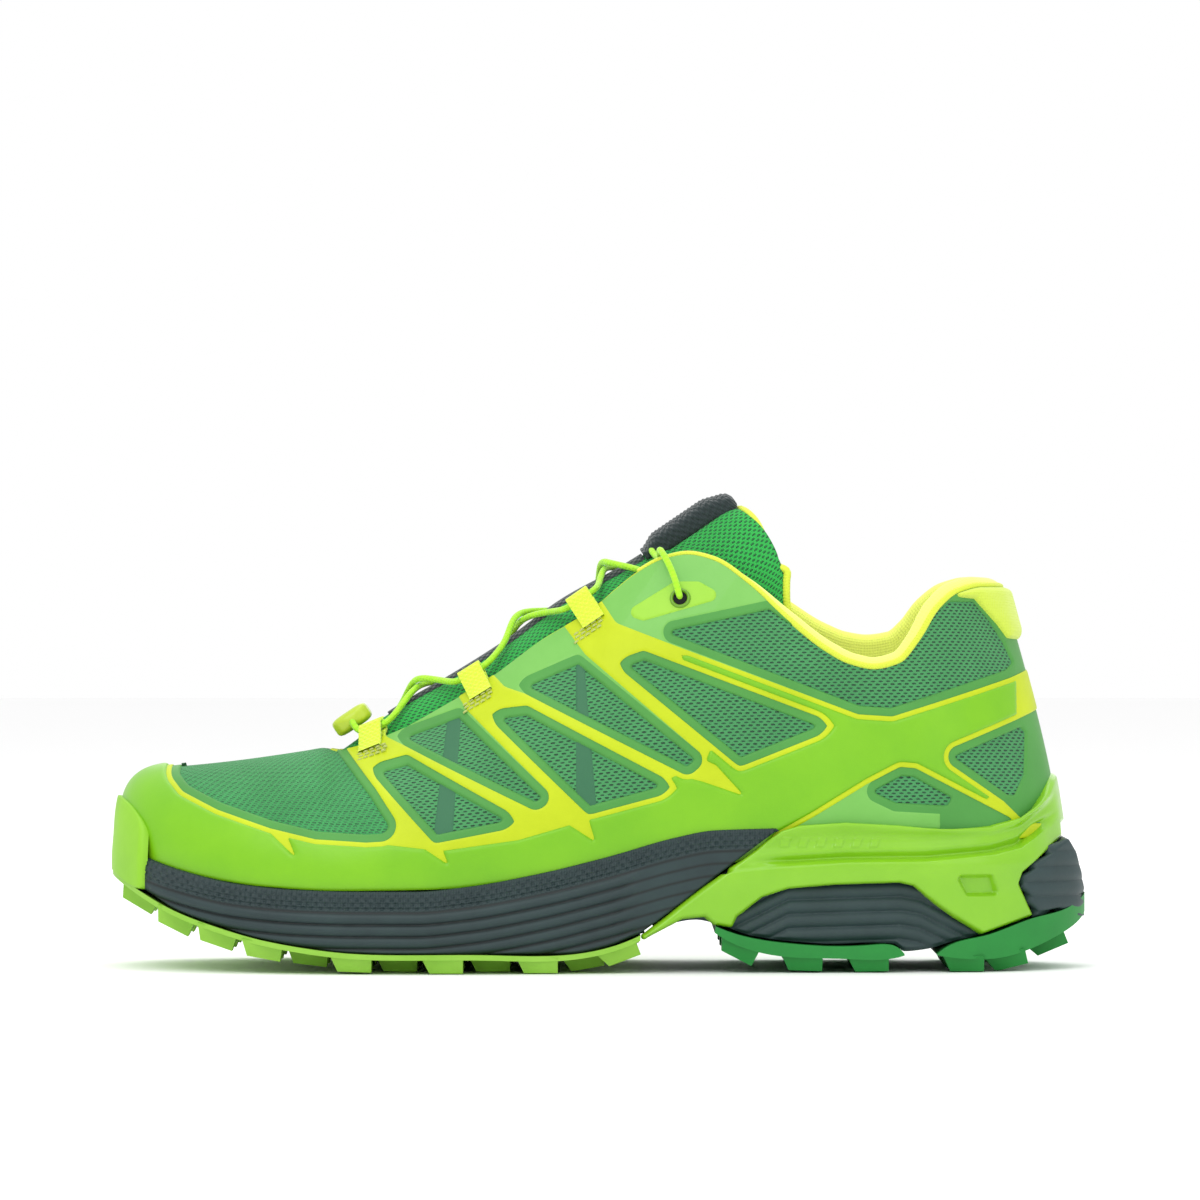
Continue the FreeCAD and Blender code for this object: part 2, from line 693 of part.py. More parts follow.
def together(name, *items):
    """Separate solids kept as one piece."""
    item = doc.addObject("Part::Compound", name)
    item.Links = list(items)
    return item


def polygon(name, points):
    return side_blank(name, [("line", points + points[:1])])


# Windows in the film, seen from the side, as (x, z).
VAMP_WINDOW = [
    (-128, 59.6), (-124.7, 56.1), (-114, 51.1), (-98, 45.9), (-84.4, 42.8), (-69.6, 41.9),
    (-64.7, 42.2), (-62.4, 43.7), (-69.0, 53.3), (-80.8, 64.5), (-86, 80), (-128, 80),
]
SIDE_WINDOWS = [
    [(-65.3, 60.4), (-57.9, 62.5), (-27.4, 45.9), (-48, 41.9)],
    [(-58.2, 70.2), (-42.2, 75.6), (-16.6, 52.7), (-18.5, 51.7)],
    [(-29, 76.7), (-21.6, 77.6), (19.4, 56.1), (-1.8, 50.5)],
    [(-20.9, 86.5), (-5.9, 92), (29.6, 64.1), (27.4, 62.2)],
    [(9.9, 92.7), (14.2, 94.2), (67.1, 74.2), (43.7, 65)],
    [(24, 101.8), (52.4, 105.2), (76.7, 89), (93, 89), (93, 81), (84, 79.6), (78, 80.2)],
]
HEEL_WINDOWS = [
    [(101, 92), (101, 103), (107.5, 109.5), (120.1, 104), (126.0, 93.3), (123.5, 91.2), (101, 84)],
    [(108.4, 65), (129.7, 73.6), (130.4, 71.5), (129.6, 59.1), (127, 54), (124, 54)],
]
STRIPES = [
    [(-62.5, 62.8), (-58.6, 68.6), (-21.5, 51), (-25.5, 47.2)],
    [(-40.3, 76.2), (-31.5, 78), (-4, 51), (-14.5, 52.6)],
    [(-19.2, 79.3), (-18.6, 85), (25.6, 61.8), (21.6, 58)],
    [(-3.6, 92.6), (8, 93.6), (41.2, 65), (31.6, 64)],
    [(17, 95.6), (23, 100.4), (76, 79.6), (69, 75.8)],
]
WING = [(46.5, 60.2), (87, 74.8), (127, 86.5), (127, 77), (92.4, 63.8), (62, 48.6), (56, 47.6)]
EYE_PATCH = [(9.5, 107.6), (23.7, 117), (31, 116.6), (38.5, 112.6), (15, 106)]
RAND_TOP = [
    (-150, 55.5), (-140, 54.0), (-130, 51.0), (-118, 47.6), (-105, 43.0), (-92, 38.6), (-84, 37.2),
    (-71, 36.6), (-55, 36.6), (-40, 38.0), (-25, 40.0), (-11, 43.0), (10, 50.0), (26, 55.0), (50, 59.5),
]


def eyelet_place(side):
    """The station and share of the wall where the top eyelet sits."""
    low, high = 165.0, 195.0
    for _ in range(30):
        middle = (low + high) / 2
        if wall(middle, share_at_height(middle, 112.8)).x < 25.4:
            low = middle
        else:
            high = middle
    return (low if side < 0 else TURN - low), share_at_height(low, 112.8)


def aimed(origin, axis):
    """The placement that turns +Z to an axis at an origin."""
    return FreeCAD.Placement(origin, FreeCAD.Rotation(Vector(0, 0, 1), axis))


def eyelet_hole(name, side):
    t, v = eyelet_place(side)
    hole = doc.addObject("Part::Cylinder", name)
    hole.setExpression("Radius", "dims.eyelet_inner_radius + 0.7")
    hole.setExpression("Height", "12")
    hole.Placement = aimed(wall_inside(t, v, 6.0), wall_normal(t, v))
    return hole


holes = fuse("eyelet_holes", eyelet_hole("hole_outer", -1), eyelet_hole("hole_inner", 1))

vamp_a, vamp_b = layer("vamp", 0.0, VAMP_END, constant(0.0), constant(1.0), mesh_out, mesh_in, 31, 13)
keep(together("vamp_mesh_body", vamp_a, vamp_b), "vamp_mesh")
quarter_a, quarter_b = layer(
    "quarter", QUARTER_START, QUARTER_END, constant(0.0), constant(1.0), mesh_out, mesh_in, 41, 13
)
keep(cut("quarter_mesh_a", quarter_a, holes), "quarter_mesh_outer")
keep(cut("quarter_mesh_b", quarter_b, holes), "quarter_mesh_inner")
heel_mesh = wall_patch(
    "heel_mesh_wall", HEEL_START, TURN - HEEL_START, constant(0.0), constant(1.0), mesh_out, mesh_in, 37, 11
)
keep(heel_mesh, "heel_mesh")

FILM_LOW = [(-150, 41), (-105, 37), (-84, 34), (-40, 35), (10, 41), (50, 50), (150, 50)]
film_low = at_height(FILM_LOW)
vamp_window = polygon("vamp_window", VAMP_WINDOW)
film_a, film_b = layer("vamp_film", 0.0, VAMP_END, film_low, constant(0.998), 0.0, film, 31, 9)
film_sides = [cut(f"vamp_film_{i}", half, vamp_window) for i, half in enumerate((film_a, film_b))]
keep(together("vamp_film_body", *film_sides), "vamp_film")
windows = fuse("windows", holes, *[polygon(f"window_{i}", w) for i, w in enumerate(SIDE_WINDOWS)])
cage_a, cage_b = layer("cage", QUARTER_START, QUARTER_END, film_low, constant(0.998), 0.0, film, 41, 9)
keep(cut("cage_film_a", cage_a, windows), "cage_film_outer")
keep(cut("cage_film_b", cage_b, windows), "cage_film_inner")
heel_film = wall_patch(
    "heel_film_wall", HEEL_START, TURN - HEEL_START, film_low, constant(0.998), 0.0, film, 37, 9
)
heel_windows = fuse("heel_windows", *[polygon(f"heel_window_{i}", w) for i, w in enumerate(HEEL_WINDOWS)])
keep(cut("heel_film_body", heel_film, heel_windows), "heel_film")

stripe_a, stripe_b = layer(
    "stripe", 72.0, QUARTER_END + 24, film_low, constant(0.995), stripe_out, -gap, 41, 9
)
stripes = fuse("stripe_set", *[polygon(f"stripe_{i}", s) for i, s in enumerate(STRIPES)])
wing = polygon("wing_side", WING)
eye_patch = cut("eye_patch_side", polygon("eye_patch_outline", EYE_PATCH), holes)
keep(common("stripe_film_a", stripe_a, stripes), "stripe_film_outer")
keep(common("stripe_film_b", stripe_b, stripes), "stripe_film_inner")
keep(common("wing_a", stripe_a, wing), "heel_wing_outer")
keep(common("wing_b", stripe_b, wing), "heel_wing_inner")
keep(common("eye_patch_a", stripe_a, eye_patch), "eye_patch_outer")
keep(common("eye_patch_b", stripe_b, eye_patch), "eye_patch_inner")

rand_out = -gap - dim("rand_thickness")
rand_top = at_height(RAND_TOP)
toe_rand = wall_patch("toe_rand_wall", -50.0, 50.0, constant(0.01), rand_top, rand_out, -gap, 41, 7)
keep(toe_rand, "toe_rand")
rand_a, rand_b = layer("rand", 50.3, 192.0, constant(0.01), rand_top, rand_out, -gap, 41, 7)
keep(rand_a, "side_rand_outer")
keep(rand_b, "side_rand_inner")

puff = wall_patch("puff_wall", -44.0, 44.0, constant(0.06), constant(0.82), stiff_out, stiff_in, 31, 9)
keep(puff, "toe_puff")
counter_top = at_height([(80, 62.0), (110, 80.0), (130, 92.0), (150, 94.0)])
counter = wall_patch(
    "counter_wall", 238.0, TURN - 238.0, constant(0.02), counter_top, stiff_out, stiff_in, 31, 9
)
keep(counter, "heel_counter")

LINING_LOW = [(40, 96.0), (60, 84.0), (80, 74.0), (110, 66.0), (150, 64.0)]
pad_in = pad_out + dim("lining_thickness")
lining_low = at_height(LINING_LOW)
lining_a, lining_b = layer("lining", 200.0, 251.0, lining_low, constant(0.995), pad_out, pad_in, 21, 9)
keep(lining_a, "collar_lining_outer")
keep(lining_b, "collar_lining_inner")
lining_heel = wall_patch(
    "lining_heel", 251.5, TURN - 251.5, lining_low, constant(0.995), pad_out, pad_in + 1.2, 25, 9
)
keep(lining_heel, "collar_lining_heel")
tab_low = at_height([(106, 112.0), (113, 112.0), (120, 106.0), (128, 101.0), (150, 100.0)])
tab = wall_patch("tab_wall", 262.0, TURN - 262.0, tab_low, constant(0.99), -2.7, -gap, 21, 7)
keep(tab, "heel_tab")


def tube(points, radius, spacing=2.5):
    """A round tube along a smooth line through points, as a loft of circles."""
    line = Part.BSplineCurve()
    line.interpolate(points)
    edge = line.toShape()
    count = max(6, int(edge.Length / spacing))
    rings = []
    across = None
    for at in edge.discretize(count):
        along = Vector(*line.tangent(line.parameter(at))[0])
        if across is None:
            across = along.cross(Vector(0, 0, 1) if abs(along.z) < 0.9 else Vector(1, 0, 0))
        across = (across - along * across.dot(along)).normalize()
        ring = Part.Circle(at, along, radius)
        ring.XAxis = across
        rings.append(Part.Wire(ring.toShape()))
    return Part.makeLoft(rings, True, True)


def edge_directions(t):
    """At the top edge of the wall: off its outer face, along the edge and, square to both, past the edge."""
    facing = wall_normal(t, 1.0)
    along = wall(t + 1.5, 1.0) - wall(t - 1.5, 1.0)
    along = (along - facing * along.dot(facing)).normalize()
    past = facing.cross(along)
    if past.dot(wall(t, 1.0) - wall(t, 0.98)) < 0:
        past = past * -1
    return facing, along, past


def edge_past(t, past, depth):
    """A point beyond the top edge of the wall by a distance, at a depth below its outer face."""
    return wall_inside(t, 1.0, depth) + edge_directions(t)[2] * past


binding_stations = spread(72.0, TURN - 72.0, 97)
binding_line = [edge_past(t, 1.5, mesh_in / 2) for t in binding_stations]
keep(feature("binding_tube", tube(binding_line, 0.8)), "edge_binding")


# ---------------------------------------------------------------- inside the upper

floor_margin = mesh_in + stiff + 0.9


def footbed_layer(name, low, high, margin):
    """A flat layer over the footbed."""
    side = side_blank(name + "_side", band(shifted(FOOTBED, high), shifted(FOOTBED, low)))
    return common(name + "_body", side, plan_blank(name + "_plan", even(-margin)))


board_low = 0.25
insole_low = board_low + board + gap
keep(footbed_layer("board", board_low, board_low + board, floor_margin), "lasting_board")
keep(footbed_layer("insole", insole_low, insole_low + insole - 0.8, floor_margin + 0.4), "insole_foam")
cover_low = insole_low + insole - 0.8 + gap
keep(footbed_layer("cover", cover_low, cover_low + 0.7, floor_margin + 0.4), "insole_cover")


# ---------------------------------------------------------------- tongue

# Spine line with the arch across it: x, z, half width, depth, wing angle in degrees.
TONGUE = [
    (-74, 69.4, 9.5, 12, 70),
    (-66.8, 75.4, 13.5, 17, 74),
    (-56, 82.4, 16.5, 22, 76),
    (-47, 87.5, 19, 25, 76),
    (-28.6, 99, 22, 29, 76),
    (-10, 112.5, 23, 32, 78),
    (6.8, 121.7, 23, 35, 80),
    (20.5, 130.3, 22.4, 36, 82),
    (34.6, 139.9, 21.8, 35, 84),
    (41, 144.2, 21.6, 34, 84),
]
spine_z = steady_curve([(r[0], r[1]) for r in TONGUE])
arch_width = steady_curve([(r[0], r[2]) for r in TONGUE])
arch_depth = steady_curve([(r[0], r[3]) for r in TONGUE])
wing_angle = steady_curve([(r[0], r[4]) for r in TONGUE])


def tongue_point(x, angle, raised):
    """A point over the tongue: x of the spine, angle round the arch in degrees, height over its face."""
    rise_x = spine_z(x + 1.5) - spine_z(x - 1.5)
    along = Vector(3.0, 0, rise_x).normalize()
    over = Vector(-along.z, 0, along.x)
    turn = math.radians(angle)
    wide, deep = arch_width(x), arch_depth(x)
    across = Vector(0, wide * math.sin(turn), 0) - over * deep * (1 - math.cos(turn))
    facing = Vector(0, deep * math.sin(turn), 0) + over * wide * math.cos(turn)
    return Vector(x, 0, spine_z(x)) + across + facing.normalize() * raised


def pad_depth(x, angle):
    centre = math.exp(-((arch_width(x) * math.sin(math.radians(angle)) / 11.0) ** 2))
    return dim("tongue_thickness") + dim("tongue_centre_pad") * centre * min(1.0, max(0.0, (x + 40) / 50))


def tongue_patch(name, x_low, x_high, share_low, share_high, top, bottom, rows=21, columns=21):
    """A layer over the tongue between two x of the spine and two shares of the wing angle."""
    high, low = [], []
    for x in spread(x_low, x_high, rows):
        angles = [wing_angle(x) * s for s in spread(share_low, share_high, columns)]
        high.append([tongue_point(x, a, top(x, a)) for a in angles])
        low.append([tongue_point(x, a, bottom(x, a)) for a in angles])
    return feature(name, between(high, low))


def flat(height):
    return lambda x, a: height


def under_pad(x, a):
    return -pad_depth(x, a)


TONGUE_FOLD = 19.0  # x of the spine where the free top of the tongue folds
TONGUE_TOP = 41.0
tongue_low = tongue_patch("tongue_low", -74.0, TONGUE_FOLD - 0.3, -1.0, 1.0, flat(0.0), under_pad, 31)
keep(tongue_low, "tongue_lower")

fold = Vector(TONGUE_FOLD, 0, spine_z(TONGUE_FOLD))
top_along = Vector(TONGUE_TOP - TONGUE_FOLD, 0, spine_z(TONGUE_TOP) - spine_z(TONGUE_FOLD)).normalize()
top_over = Vector(-top_along.z, 0, top_along.x)
top_turn = FreeCAD.Rotation(Vector(0, 1, 0), -math.degrees(math.atan2(top_along.z, top_along.x)))


def top_point(s, y, over):
    """A point in the frame of the tongue's top: along its spine from the fold, across, and over it."""
    return fold + top_along * s + top_over * over + Vector(0, y, 0)


def top_box(name, s, y, over, length, width, height):
    """A box laid along the tongue's top, centred across it; sizes may be numbers or sheet expressions."""
    box = doc.addObject("Part::Box", name)
    box.setExpression("Length", str(length))
    box.setExpression("Width", str(width))
    box.setExpression("Height", str(height))
    box.Placement = FreeCAD.Placement(top_point(s, y, over), top_turn)
    return box


CHANNEL_LEVEL = 1.0
RECESS_DEPTH = 3.1
WING_START = 0.37  # share of the wing angle where the padding beside the recess begins


def recess_floor(x, angle):
    """Height, against the tongue's face, of a plane a fixed depth under the spine."""
    turn = math.radians(angle)
    wide, deep = arch_width(x), arch_depth(x)
    upright = wide * math.cos(turn) / math.hypot(wide * math.cos(turn), deep * math.sin(turn))
    return (deep * (1 - math.cos(turn)) - RECESS_DEPTH) / upright


def deep_pad(x, angle):
    return under_pad(x, angle) - 0.7


centre_start, centre_end = TONGUE_FOLD + 0.6, TONGUE_TOP - 0.3
wing_start = TONGUE_FOLD + 0.3
tongue_parts = [
    tongue_patch("tongue_wing_a", wing_start, TONGUE_TOP, -1.0, -WING_START, flat(0.0), under_pad, 15, 13),
    tongue_patch("tongue_wing_b", wing_start, TONGUE_TOP, WING_START, 1.0, flat(0.0), under_pad, 15, 13),
    tongue_patch("tongue_centre", centre_start, centre_end, -0.43, 0.43, recess_floor, deep_pad, 15, 15),
]
keep(fuse("tongue_upper_body", *tongue_parts), "tongue_upper")
pocket_outer = top_box("pocket_outer", 0.5, -8.3, -2.6, 24.6, 16.6, 7.4)
pocket_inner = top_box("pocket_inner", -1.0, -7.5, -2.1, 25.2, 15, 6.1)
keep(cut("pocket_body", pocket_outer, pocket_inner), "lace_pocket")

LOCK_START = 2.4
lock_block = top_box(
    "lock_block", LOCK_START, -dim("lock_width") / 2, CHANNEL_LEVEL - dim("lock_depth") / 2,
    "dims.lock_length", "dims.lock_width", "dims.lock_depth",
)
lock_round = doc.addObject("Part::Fillet", "lock_round")
lock_round.Base = lock_block
lock_round.Edges = [(i, 0.8, 0.8) for i in (1, 3, 5, 7, 10, 12)]


def channel(name, side):
    bore = doc.addObject("Part::Cylinder", name)
    bore.setExpression("Radius", "dims.lock_channel_radius")
    bore.setExpression("Height", "dims.lock_length + 4")
    y = side * dim("lock_channel_spacing") / 2
    bore.Placement = aimed(top_point(LOCK_START - 2.0, y, CHANNEL_LEVEL), top_along)
    return bore


face_level = CHANNEL_LEVEL + dim("lock_depth") / 2
SLOT_DEPTH = 0.85
slot = top_box(
    "button_slot", LOCK_START + 3.0, -dim("button_width") / 2 - 0.35, face_level - SLOT_DEPTH,
    "dims.button_length + dims.button_travel + 0.7", "dims.button_width + 0.7", "3",
)
lock_voids = fuse("lock_voids", channel("channel_outer", -1), channel("channel_inner", 1), slot)
keep(cut("lock_body_cut", lock_round, lock_voids), "lock_body")
button_start = LOCK_START + 3.35 + dim("button_travel")
button_base = top_box(
    "button_base", button_start, -dim("button_width") / 2, face_level - SLOT_DEPTH + 0.1,
    "dims.button_length", "dims.button_width", "0.55",
)
button_ribs = [
    top_box(f"button_rib_{i}", button_start + 1.2 + 1.7 * i, -3.2, face_level - 0.3, 0.9, 6.4, 0.3)
    for i in range(3)
]
keep(fuse("button_body", button_base, *button_ribs), "lock_button")

piping_angles = spread(-wing_angle(TONGUE_TOP), wing_angle(TONGUE_TOP), 25)
piping_line = [
    tongue_point(TONGUE_TOP, a, -pad_depth(TONGUE_TOP, a) / 2) + top_along * 1.3 for a in piping_angles
]
keep(feature("piping_tube", tube(piping_line, 1.0)), "tongue_piping")
keep(
    tongue_patch("band", -60.0, 13.0, -0.15, 0.15, flat(0.15 + dim("band_thickness")), flat(0.15), 21, 7),
    "tongue_band",
)


gusset_a, gusset_b = layer(
    "gusset", 74.0, 170.0, constant(0.15), constant(0.84), mesh_in + 0.3, mesh_in + 0.9, 31, 9
)
keep(gusset_a, "tongue_gusset_outer")
keep(gusset_b, "tongue_gusset_inner")


# ---------------------------------------------------------------- laces

LOOP_STATIONS = (83.0, 114.0, 147.0)
LOOP_BORE = 1.5
loop_wall = dim("loop_thickness")
loop_half = dim("loop_width") / 2


def loop_frame(t):
    """Centre of a lace loop's bore with its directions: past the edge, along the bore, off the wall."""
    facing, along, past = edge_directions(t)
    if along.x < 0:
        along = along * -1
    return wall(t, 1.0) + past * 5.1 + facing * 1.5, past, along, facing


def lace_loop(t):
    """One webbing loop: a round nose past the edge and a flat tail on the wall."""
    centre, past, along, facing = loop_frame(t)
    base = centre - along * loop_half
    outer = Part.makeCylinder(LOOP_BORE + loop_wall, 2 * loop_half, base, along)
    inner = Part.makeCylinder(LOOP_BORE, 2 * loop_half, base, along)
    nose = outer.cut(inner)
    tail = dim("loop_length")
    top = base + facing * (LOOP_BORE + loop_wall)
    corners = [
        top,
        top - facing * loop_wall,
        top - past * 4.0 - facing * (loop_wall + 0.5),
        wall(t, 1.0) - along * loop_half - past * (tail - 4.0) + facing * 0.9,
        wall(t, 1.0) - along * loop_half - past * (tail - 4.0) + facing * (0.9 + loop_wall),
        top - past * 4.0 - facing * 0.5,
    ]
    tail_solid = Part.Face(Part.makePolygon(corners + corners[:1])).extrude(along * 2 * loop_half)
    return nose.fuse(tail_solid)


keep(feature("loops_a", Part.makeCompound([lace_loop(t) for t in LOOP_STATIONS])), "lace_loops_outer")
keep(feature("loops_b", Part.makeCompound([lace_loop(TURN - t) for t in LOOP_STATIONS])), "lace_loops_inner")


def eyelet(name, side):
    """A two-sided eyelet: flange, barrel and washer."""
    t, v = eyelet_place(side)
    r = dim("eyelet_inner_radius")
    rim = dim("eyelet_rim_radius")
    origin = wall_inside(t, v, mesh_in + 0.15 + rim)
    outline = [
        (r, 0), (r + 1.5, 0), (r + 1.5, rim), (r + 0.45, rim),
        (r + 0.45, mesh_in + 0.75 + rim + 0.3), (r + 1.4, mesh_in + 0.75 + rim + 0.3),
        (r + 1.1, mesh_in + 0.75 + 2 * rim + 0.3), (r, mesh_in + 0.75 + 2 * rim + 0.3),
    ]
    corners = [Vector(a, 0, b) for a, b in outline]
    face = Part.Face(Part.makePolygon(corners + corners[:1]))
    item = feature(name, face.revolve(Vector(0, 0, 0), Vector(0, 0, 1), 360))
    item.Placement = aimed(origin, wall_normal(t, v))
    return item


keep(eyelet("eyelet_a", -1), "eyelet_outer")
keep(eyelet("eyelet_b", 1), "eyelet_inner")

anchor_at = -74.0
anchor_slope = math.radians(34.0)
anchor_turn = FreeCAD.Rotation(Vector(0, 1, 0), -math.degrees(anchor_slope))
anchor_along = Vector(math.cos(anchor_slope), 0, math.sin(anchor_slope))
anchor_over = Vector(-anchor_along.z, 0, anchor_along.x)
anchor_base = Vector(anchor_at, 0, 73.6)
anchor_block = doc.addObject("Part::Box", "anchor_block")
anchor_block.setExpression("Length", "13")
anchor_block.setExpression("Width", "13")
anchor_block.setExpression("Height", "5.2")
anchor_block.Placement = FreeCAD.Placement(anchor_base - anchor_along * 6.5 - Vector(0, 6.5, 0), anchor_turn)
anchor_round = doc.addObject("Part::Fillet", "anchor_round")
anchor_round.Base = anchor_block
anchor_round.Edges = [(i, 1.4, 1.4) for i in (2, 4, 6, 8, 10, 12)]
anchor_bore = doc.addObject("Part::Cylinder", "anchor_bore")
anchor_bore.setExpression("Radius", "dims.lace_diameter / 2 + 0.4")
anchor_bore.setExpression("Height", "20")
lace_cross = anchor_base + anchor_over * 2.6
anchor_bore.Placement = aimed(lace_cross - Vector(0, 10, 0), Vector(0, 1, 0))
keep(cut("anchor_body", anchor_round, anchor_bore), "lace_anchor")


def strand(side, crossing_height):
    """Half the lace, from the anchor through three loops and out of the top eyelet to the pocket's mouth."""
    line = [lace_cross + Vector(0, side * y, 0) for y in (0.2, 3.0, 6.5)]
    at = side
    last_x = anchor_at
    for index, station in enumerate(LOOP_STATIONS):
        centre, past, along, facing = loop_frame(station if at < 0 else TURN - station)
        if index:
            line += crossing(last_x, centre.x, at, crossing_height)
        line += [centre + along * (a * loop_half) for a in (-1.25, -0.6, 0.0, 0.6, 1.25)]
        last_x = centre.x
        at = -at
    t, v = eyelet_place(at)
    line += crossing(last_x, 13.0, at, crossing_height)[:-1]
    facing = wall_normal(t, v)
    hole_centre = wall_inside(t, v, mesh_in / 2)
    line += [tongue_point(13.0, at * 36.0, 1.6), tongue_point(16.5, at * 54.0, 2.0)]
    line += [hole_centre - facing * 2.6, hole_centre, hole_centre + facing * 2.4]
    edge_t = 170.0 if at < 0 else TURN - 170.0
    line += [
        wall_inside((t * 2 + edge_t) / 3, 0.5 + v / 2, -3.4),
        edge_past(edge_t, 2.4, -2.9),
        tongue_point(17.2, at * 34.0, 3.0),
        tongue_point(16.6, at * 20.0, 1.9),
        tongue_point(17.0, at * 9.5, 1.7),
        top_point(-0.6, at * 3.2, 1.2),
    ]
    return line


def crossing(x_from, x_to, at, height):
    """Points where a strand climbs over the tongue from one side to the other."""
    points = []
    for s in (0.3, 0.42, 0.5, 0.58, 0.7):
        angle = at * 54.0 * (2 * s - 1)
        raised = 1.7 + height * (1 - abs(2 * s - 1) * 1.9)
        points.append(tongue_point(x_from + (x_to - x_from) * s, angle, raised))
    return points


for label, side, height in (("lace_strand_a", -1, 0.9), ("lace_strand_b", 1, 3.2)):
    keep(feature(label + "_tube", tube(strand(side, height), dim("lace_diameter") / 2, 1.6)), label)

tail_half = dim("lock_channel_spacing") / 2
tail_line = [top_point(s, -tail_half, CHANNEL_LEVEL) for s in (0.7, 4.0, 8.0, 12.0, 16.0, 19.0)]
tail_line += [top_point(s, y, CHANNEL_LEVEL) for s, y in ((21.4, -2.0), (22.3, 0.0), (21.4, 2.0))]
tail_line += [top_point(s, tail_half, CHANNEL_LEVEL) for s in (19.0, 16.0, 12.0, 8.0, 4.0, 0.7)]
keep(feature("tail_tube", tube(tail_line, dim("lace_diameter") / 2)), "lace_tail")


# ---------------------------------------------------------------- writing the pieces

doc.recompute()
os.makedirs("parts", exist_ok=True)
for name, item in made.items():
    shape = item.Shape
    if "Invalid" in item.State or "Error" in item.State or shape.isNull() or not shape.isValid():
        raise SystemExit(f"{name} did not build: {item.State}")
for old in os.listdir("parts"):
    os.remove(os.path.join("parts", old))
for name, item in made.items():
    item.Shape.exportStep(f"parts/{name}.step")
    box = item.Shape.BoundBox
    print(
        f"{name:24s} {len(item.Shape.Solids)} solids {item.Shape.Volume / 1000:8.2f} cm3 "
        f"x {box.XMin:7.1f} {box.XMax:7.1f} y {box.YMin:6.1f} {box.YMax:6.1f} "
        f"z {box.ZMin:6.1f} {box.ZMax:6.1f}"
    )
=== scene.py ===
import bpy
import math
import numpy as np
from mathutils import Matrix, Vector


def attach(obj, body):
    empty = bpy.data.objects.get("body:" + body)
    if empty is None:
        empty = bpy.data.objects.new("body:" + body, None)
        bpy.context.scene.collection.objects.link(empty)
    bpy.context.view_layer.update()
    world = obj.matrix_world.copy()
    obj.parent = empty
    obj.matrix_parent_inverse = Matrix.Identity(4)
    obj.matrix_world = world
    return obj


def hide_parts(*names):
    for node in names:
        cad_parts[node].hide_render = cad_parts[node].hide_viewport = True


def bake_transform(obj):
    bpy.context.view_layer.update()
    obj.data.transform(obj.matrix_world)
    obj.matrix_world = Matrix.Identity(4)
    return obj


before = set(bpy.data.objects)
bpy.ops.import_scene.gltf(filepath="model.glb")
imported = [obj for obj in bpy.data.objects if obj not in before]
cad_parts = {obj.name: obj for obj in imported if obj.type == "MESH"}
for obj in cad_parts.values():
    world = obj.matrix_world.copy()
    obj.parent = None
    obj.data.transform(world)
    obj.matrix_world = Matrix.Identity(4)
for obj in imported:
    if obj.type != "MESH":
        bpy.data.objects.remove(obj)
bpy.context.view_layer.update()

# Lengths below are in millimetres and are turned to metres when a mesh is made.

# Foot line: station, x, y outer, y inner, z, how far the sole stands out.
FOOT = np.array([
    (-150, -145.5, 6.0, 6.0, 37.0, 3.8), (-146, -144.3, -4.0, 16.5, 36.0, 3.9),
    (-140, -140.3, -14.0, 25.5, 34.5, 4.3), (-131, -132.3, -24.5, 34.0, 32.0, 5.0),
    (-118, -118.6, -35.0, 41.5, 28.6, 5.0), (-100, -100.0, -43.5, 46.8, 26.0, 5.0),
    (-78, -78.0, -48.3, 49.0, 24.9, 5.0), (-50, -50.0, -49.0, 46.5, 25.3, 5.0),
    (-20, -20.0, -46.8, 41.0, 28.0, 5.0), (10, 10.0, -43.0, 36.8, 31.0, 5.0),
    (40, 40.0, -40.0, 34.5, 33.0, 5.0), (70, 70.0, -38.5, 35.0, 34.0, 5.0),
    (95, 95.0, -37.5, 35.5, 34.5, 5.0), (112, 112.5, -34.5, 33.5, 35.0, 5.5),
    (126, 126.5, -27.0, 26.5, 35.0, 6.0), (137, 136.8, -17.0, 17.0, 35.0, 6.5),
    (145, 142.0, -7.5, 7.5, 35.0, 7.0), (150, 143.2, 0.0, 0.0, 35.0, 7.0),
])
# Vamp ridge, throat edge and collar: station, x, half width, z outer, z inner.
EDGE = np.array([
    (-150, -127.5, 0.0, 61.4, 61.4), (-140, -125.0, 0.0, 61.8, 61.8), (-125, -118.0, 0.0, 62.6, 62.6),
    (-110, -108.5, 0.0, 63.8, 63.8), (-97, -98.0, 0.0, 65.3, 65.3), (-88, -89.5, 0.0, 66.6, 66.6),
    (-83, -84.2, 0.0, 67.4, 67.4), (-76, -78.5, 8.0, 66.4, 66.4), (-62, -62.8, 15.0, 71.5, 71.5),
    (-45, -45.0, 18.0, 81.0, 81.0), (-33, -33.3, 19.5, 88.0, 88.0), (-17, -17.6, 21.0, 99.5, 99.5),
    (-2, -1.5, 22.0, 109.3, 109.3), (5, 4.9, 22.4, 114.8, 114.8), (13, 12.6, 22.8, 120.8, 120.8),
    (20, 20.3, 23.4, 124.8, 124.8), (28, 27.7, 24.6, 126.2, 126.4), (35, 35.1, 26.5, 124.6, 125.2),
    (46, 45.9, 29.6, 117.4, 119.4), (58, 57.6, 32.0, 106.6, 110.4), (69, 69.2, 33.4, 97.2, 102.6),
    (77, 76.6, 34.0, 93.2, 99.4), (84, 84.0, 34.0, 91.6, 98.2), (92, 91.8, 33.6, 93.4, 99.2),
    (99, 98.2, 32.8, 100.6, 104.0), (106, 104.0, 30.8, 109.6, 110.4), (114, 110.2, 27.2, 114.6, 114.6),
    (126, 117.5, 20.6, 116.4, 116.4), (138, 123.0, 11.4, 116.4, 116.4), (150, 125.2, 0.0, 116.0, 116.0),
])
